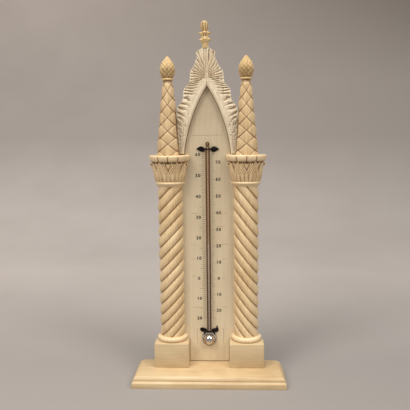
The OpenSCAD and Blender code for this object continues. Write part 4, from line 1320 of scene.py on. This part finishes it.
def strap(name, z, height):
    """A bent strip over the front of the stem, with feet on the plate."""
    piece = grid(name, 48, 4)
    bow = stem_r + 0.12
    for vertex in piece.data.vertices:
        u, w = vertex.co.x, vertex.co.y
        if abs(u) < bow_share:
            turn = u / bow_share * math.pi / 2
            x, y = bow * math.sin(turn), stem_y - bow * math.cos(turn)
        else:
            run = (abs(u) - bow_share) / (1 - bow_share)
            drop = min(1, run * 1.6)
            x = math.copysign(bow + max(0, run - 0.62) * 3.2, u)
            y = stem_y + (plate_y - leaf_thick - stem_y) * drop
        vertex.co = Vector((x, y, z + w * height / 2)) * mm
    worked(piece, "SOLIDIFY", thickness=strap_thick * mm, offset=1)
    whole_mesh()
    outward(40)
    return piece


def clip(name, z, strap_h, left, right, *more):
    """A strap at a height, with leaves of the given outlines on its left and right."""
    parts = [strap(name + "_strap", z, strap_h), leaf_end(left, z, -1), leaf_end(right, z, 1)]
    return join(parts + [leaf_end(outline, z, sign) for outline in more for sign in (-1, 1)], name)


black = blackened()
upper_z, lower_z = 164.0, 33.1
upper_left = [
    (2.1, -0.65), (2.6, -2.3), (3.4, -2), (5.1, -1.6), (6.6, -0.8), (8.1, 0), (7, 0.9),
    (5.6, 1.7), (4.3, 2), (3.1, 1.3), (2.1, 0.65),
]
upper_right = [
    (2.1, -0.65), (3, -1.6), (4.1, -2.1), (5.2, -1.9), (6.3, -1.2), (8.4, -0.1), (6.4, 1.2),
    (5.3, 1.8), (4.1, 2), (3, 1.3), (2.1, 0.65),
]
upper_clip = clip("leaf_clip", upper_z, 0.9, upper_left, upper_right)
fit(upper_clip, black, "upper_clip")
lower_left = [
    (2.1, -0.65), (3.4, -1.4), (4.7, -1.8), (6, -1.2), (7, 0.2), (6.5, 1.4), (5, 1.7),
    (3.4, 1.1), (2.1, 0.65),
]
lower_right = [
    (2.1, -0.65), (3.6, -1.2), (4.6, -1.9), (5.8, -1.8), (6.7, -0.6), (6.6, 0.7), (6.1, 1.6),
    (5.9, 3.2), (5.2, 3), (5.1, 1.5), (4, 1.1), (2.1, 0.65),
]
claw = [(2, -0.4), (3, -0.6), (3.8, -1.8), (4.3, -3.5), (3.7, -4), (2.8, -2.9), (2.2, -1.8)]
lower_clip = clip("lobed_clip", lower_z, 1.1, lower_left, lower_right, claw)
fit(lower_clip, black, "lower_clip")


# The pins: four round-headed pins of the same black brass, one driven into the plate
# through each end of each clip.
head_r, head_y = 0.62, plate_y - 0.75
heads = []
for x, z in ((-4.9, upper_z), (4.9, upper_z), (-5.2, lower_z), (5.2, lower_z)):
    head_levels = [z - 0.6 + 0.15 * i for i in range(9)]

    def head_cut(angle, height, middle=z):
        return math.sqrt(max(0.01, head_r**2 - (height - middle) ** 2)), 0

    heads.append(carved("pin_head", 20, head_levels, (x, head_y), head_cut))
pins = join(heads, "clip_pin_heads")
for vertex in pins.data.vertices:
    vertex.co.y = max(vertex.co.y, (plate_y - 0.98) * mm)
fit(pins, black, "clip_pins")
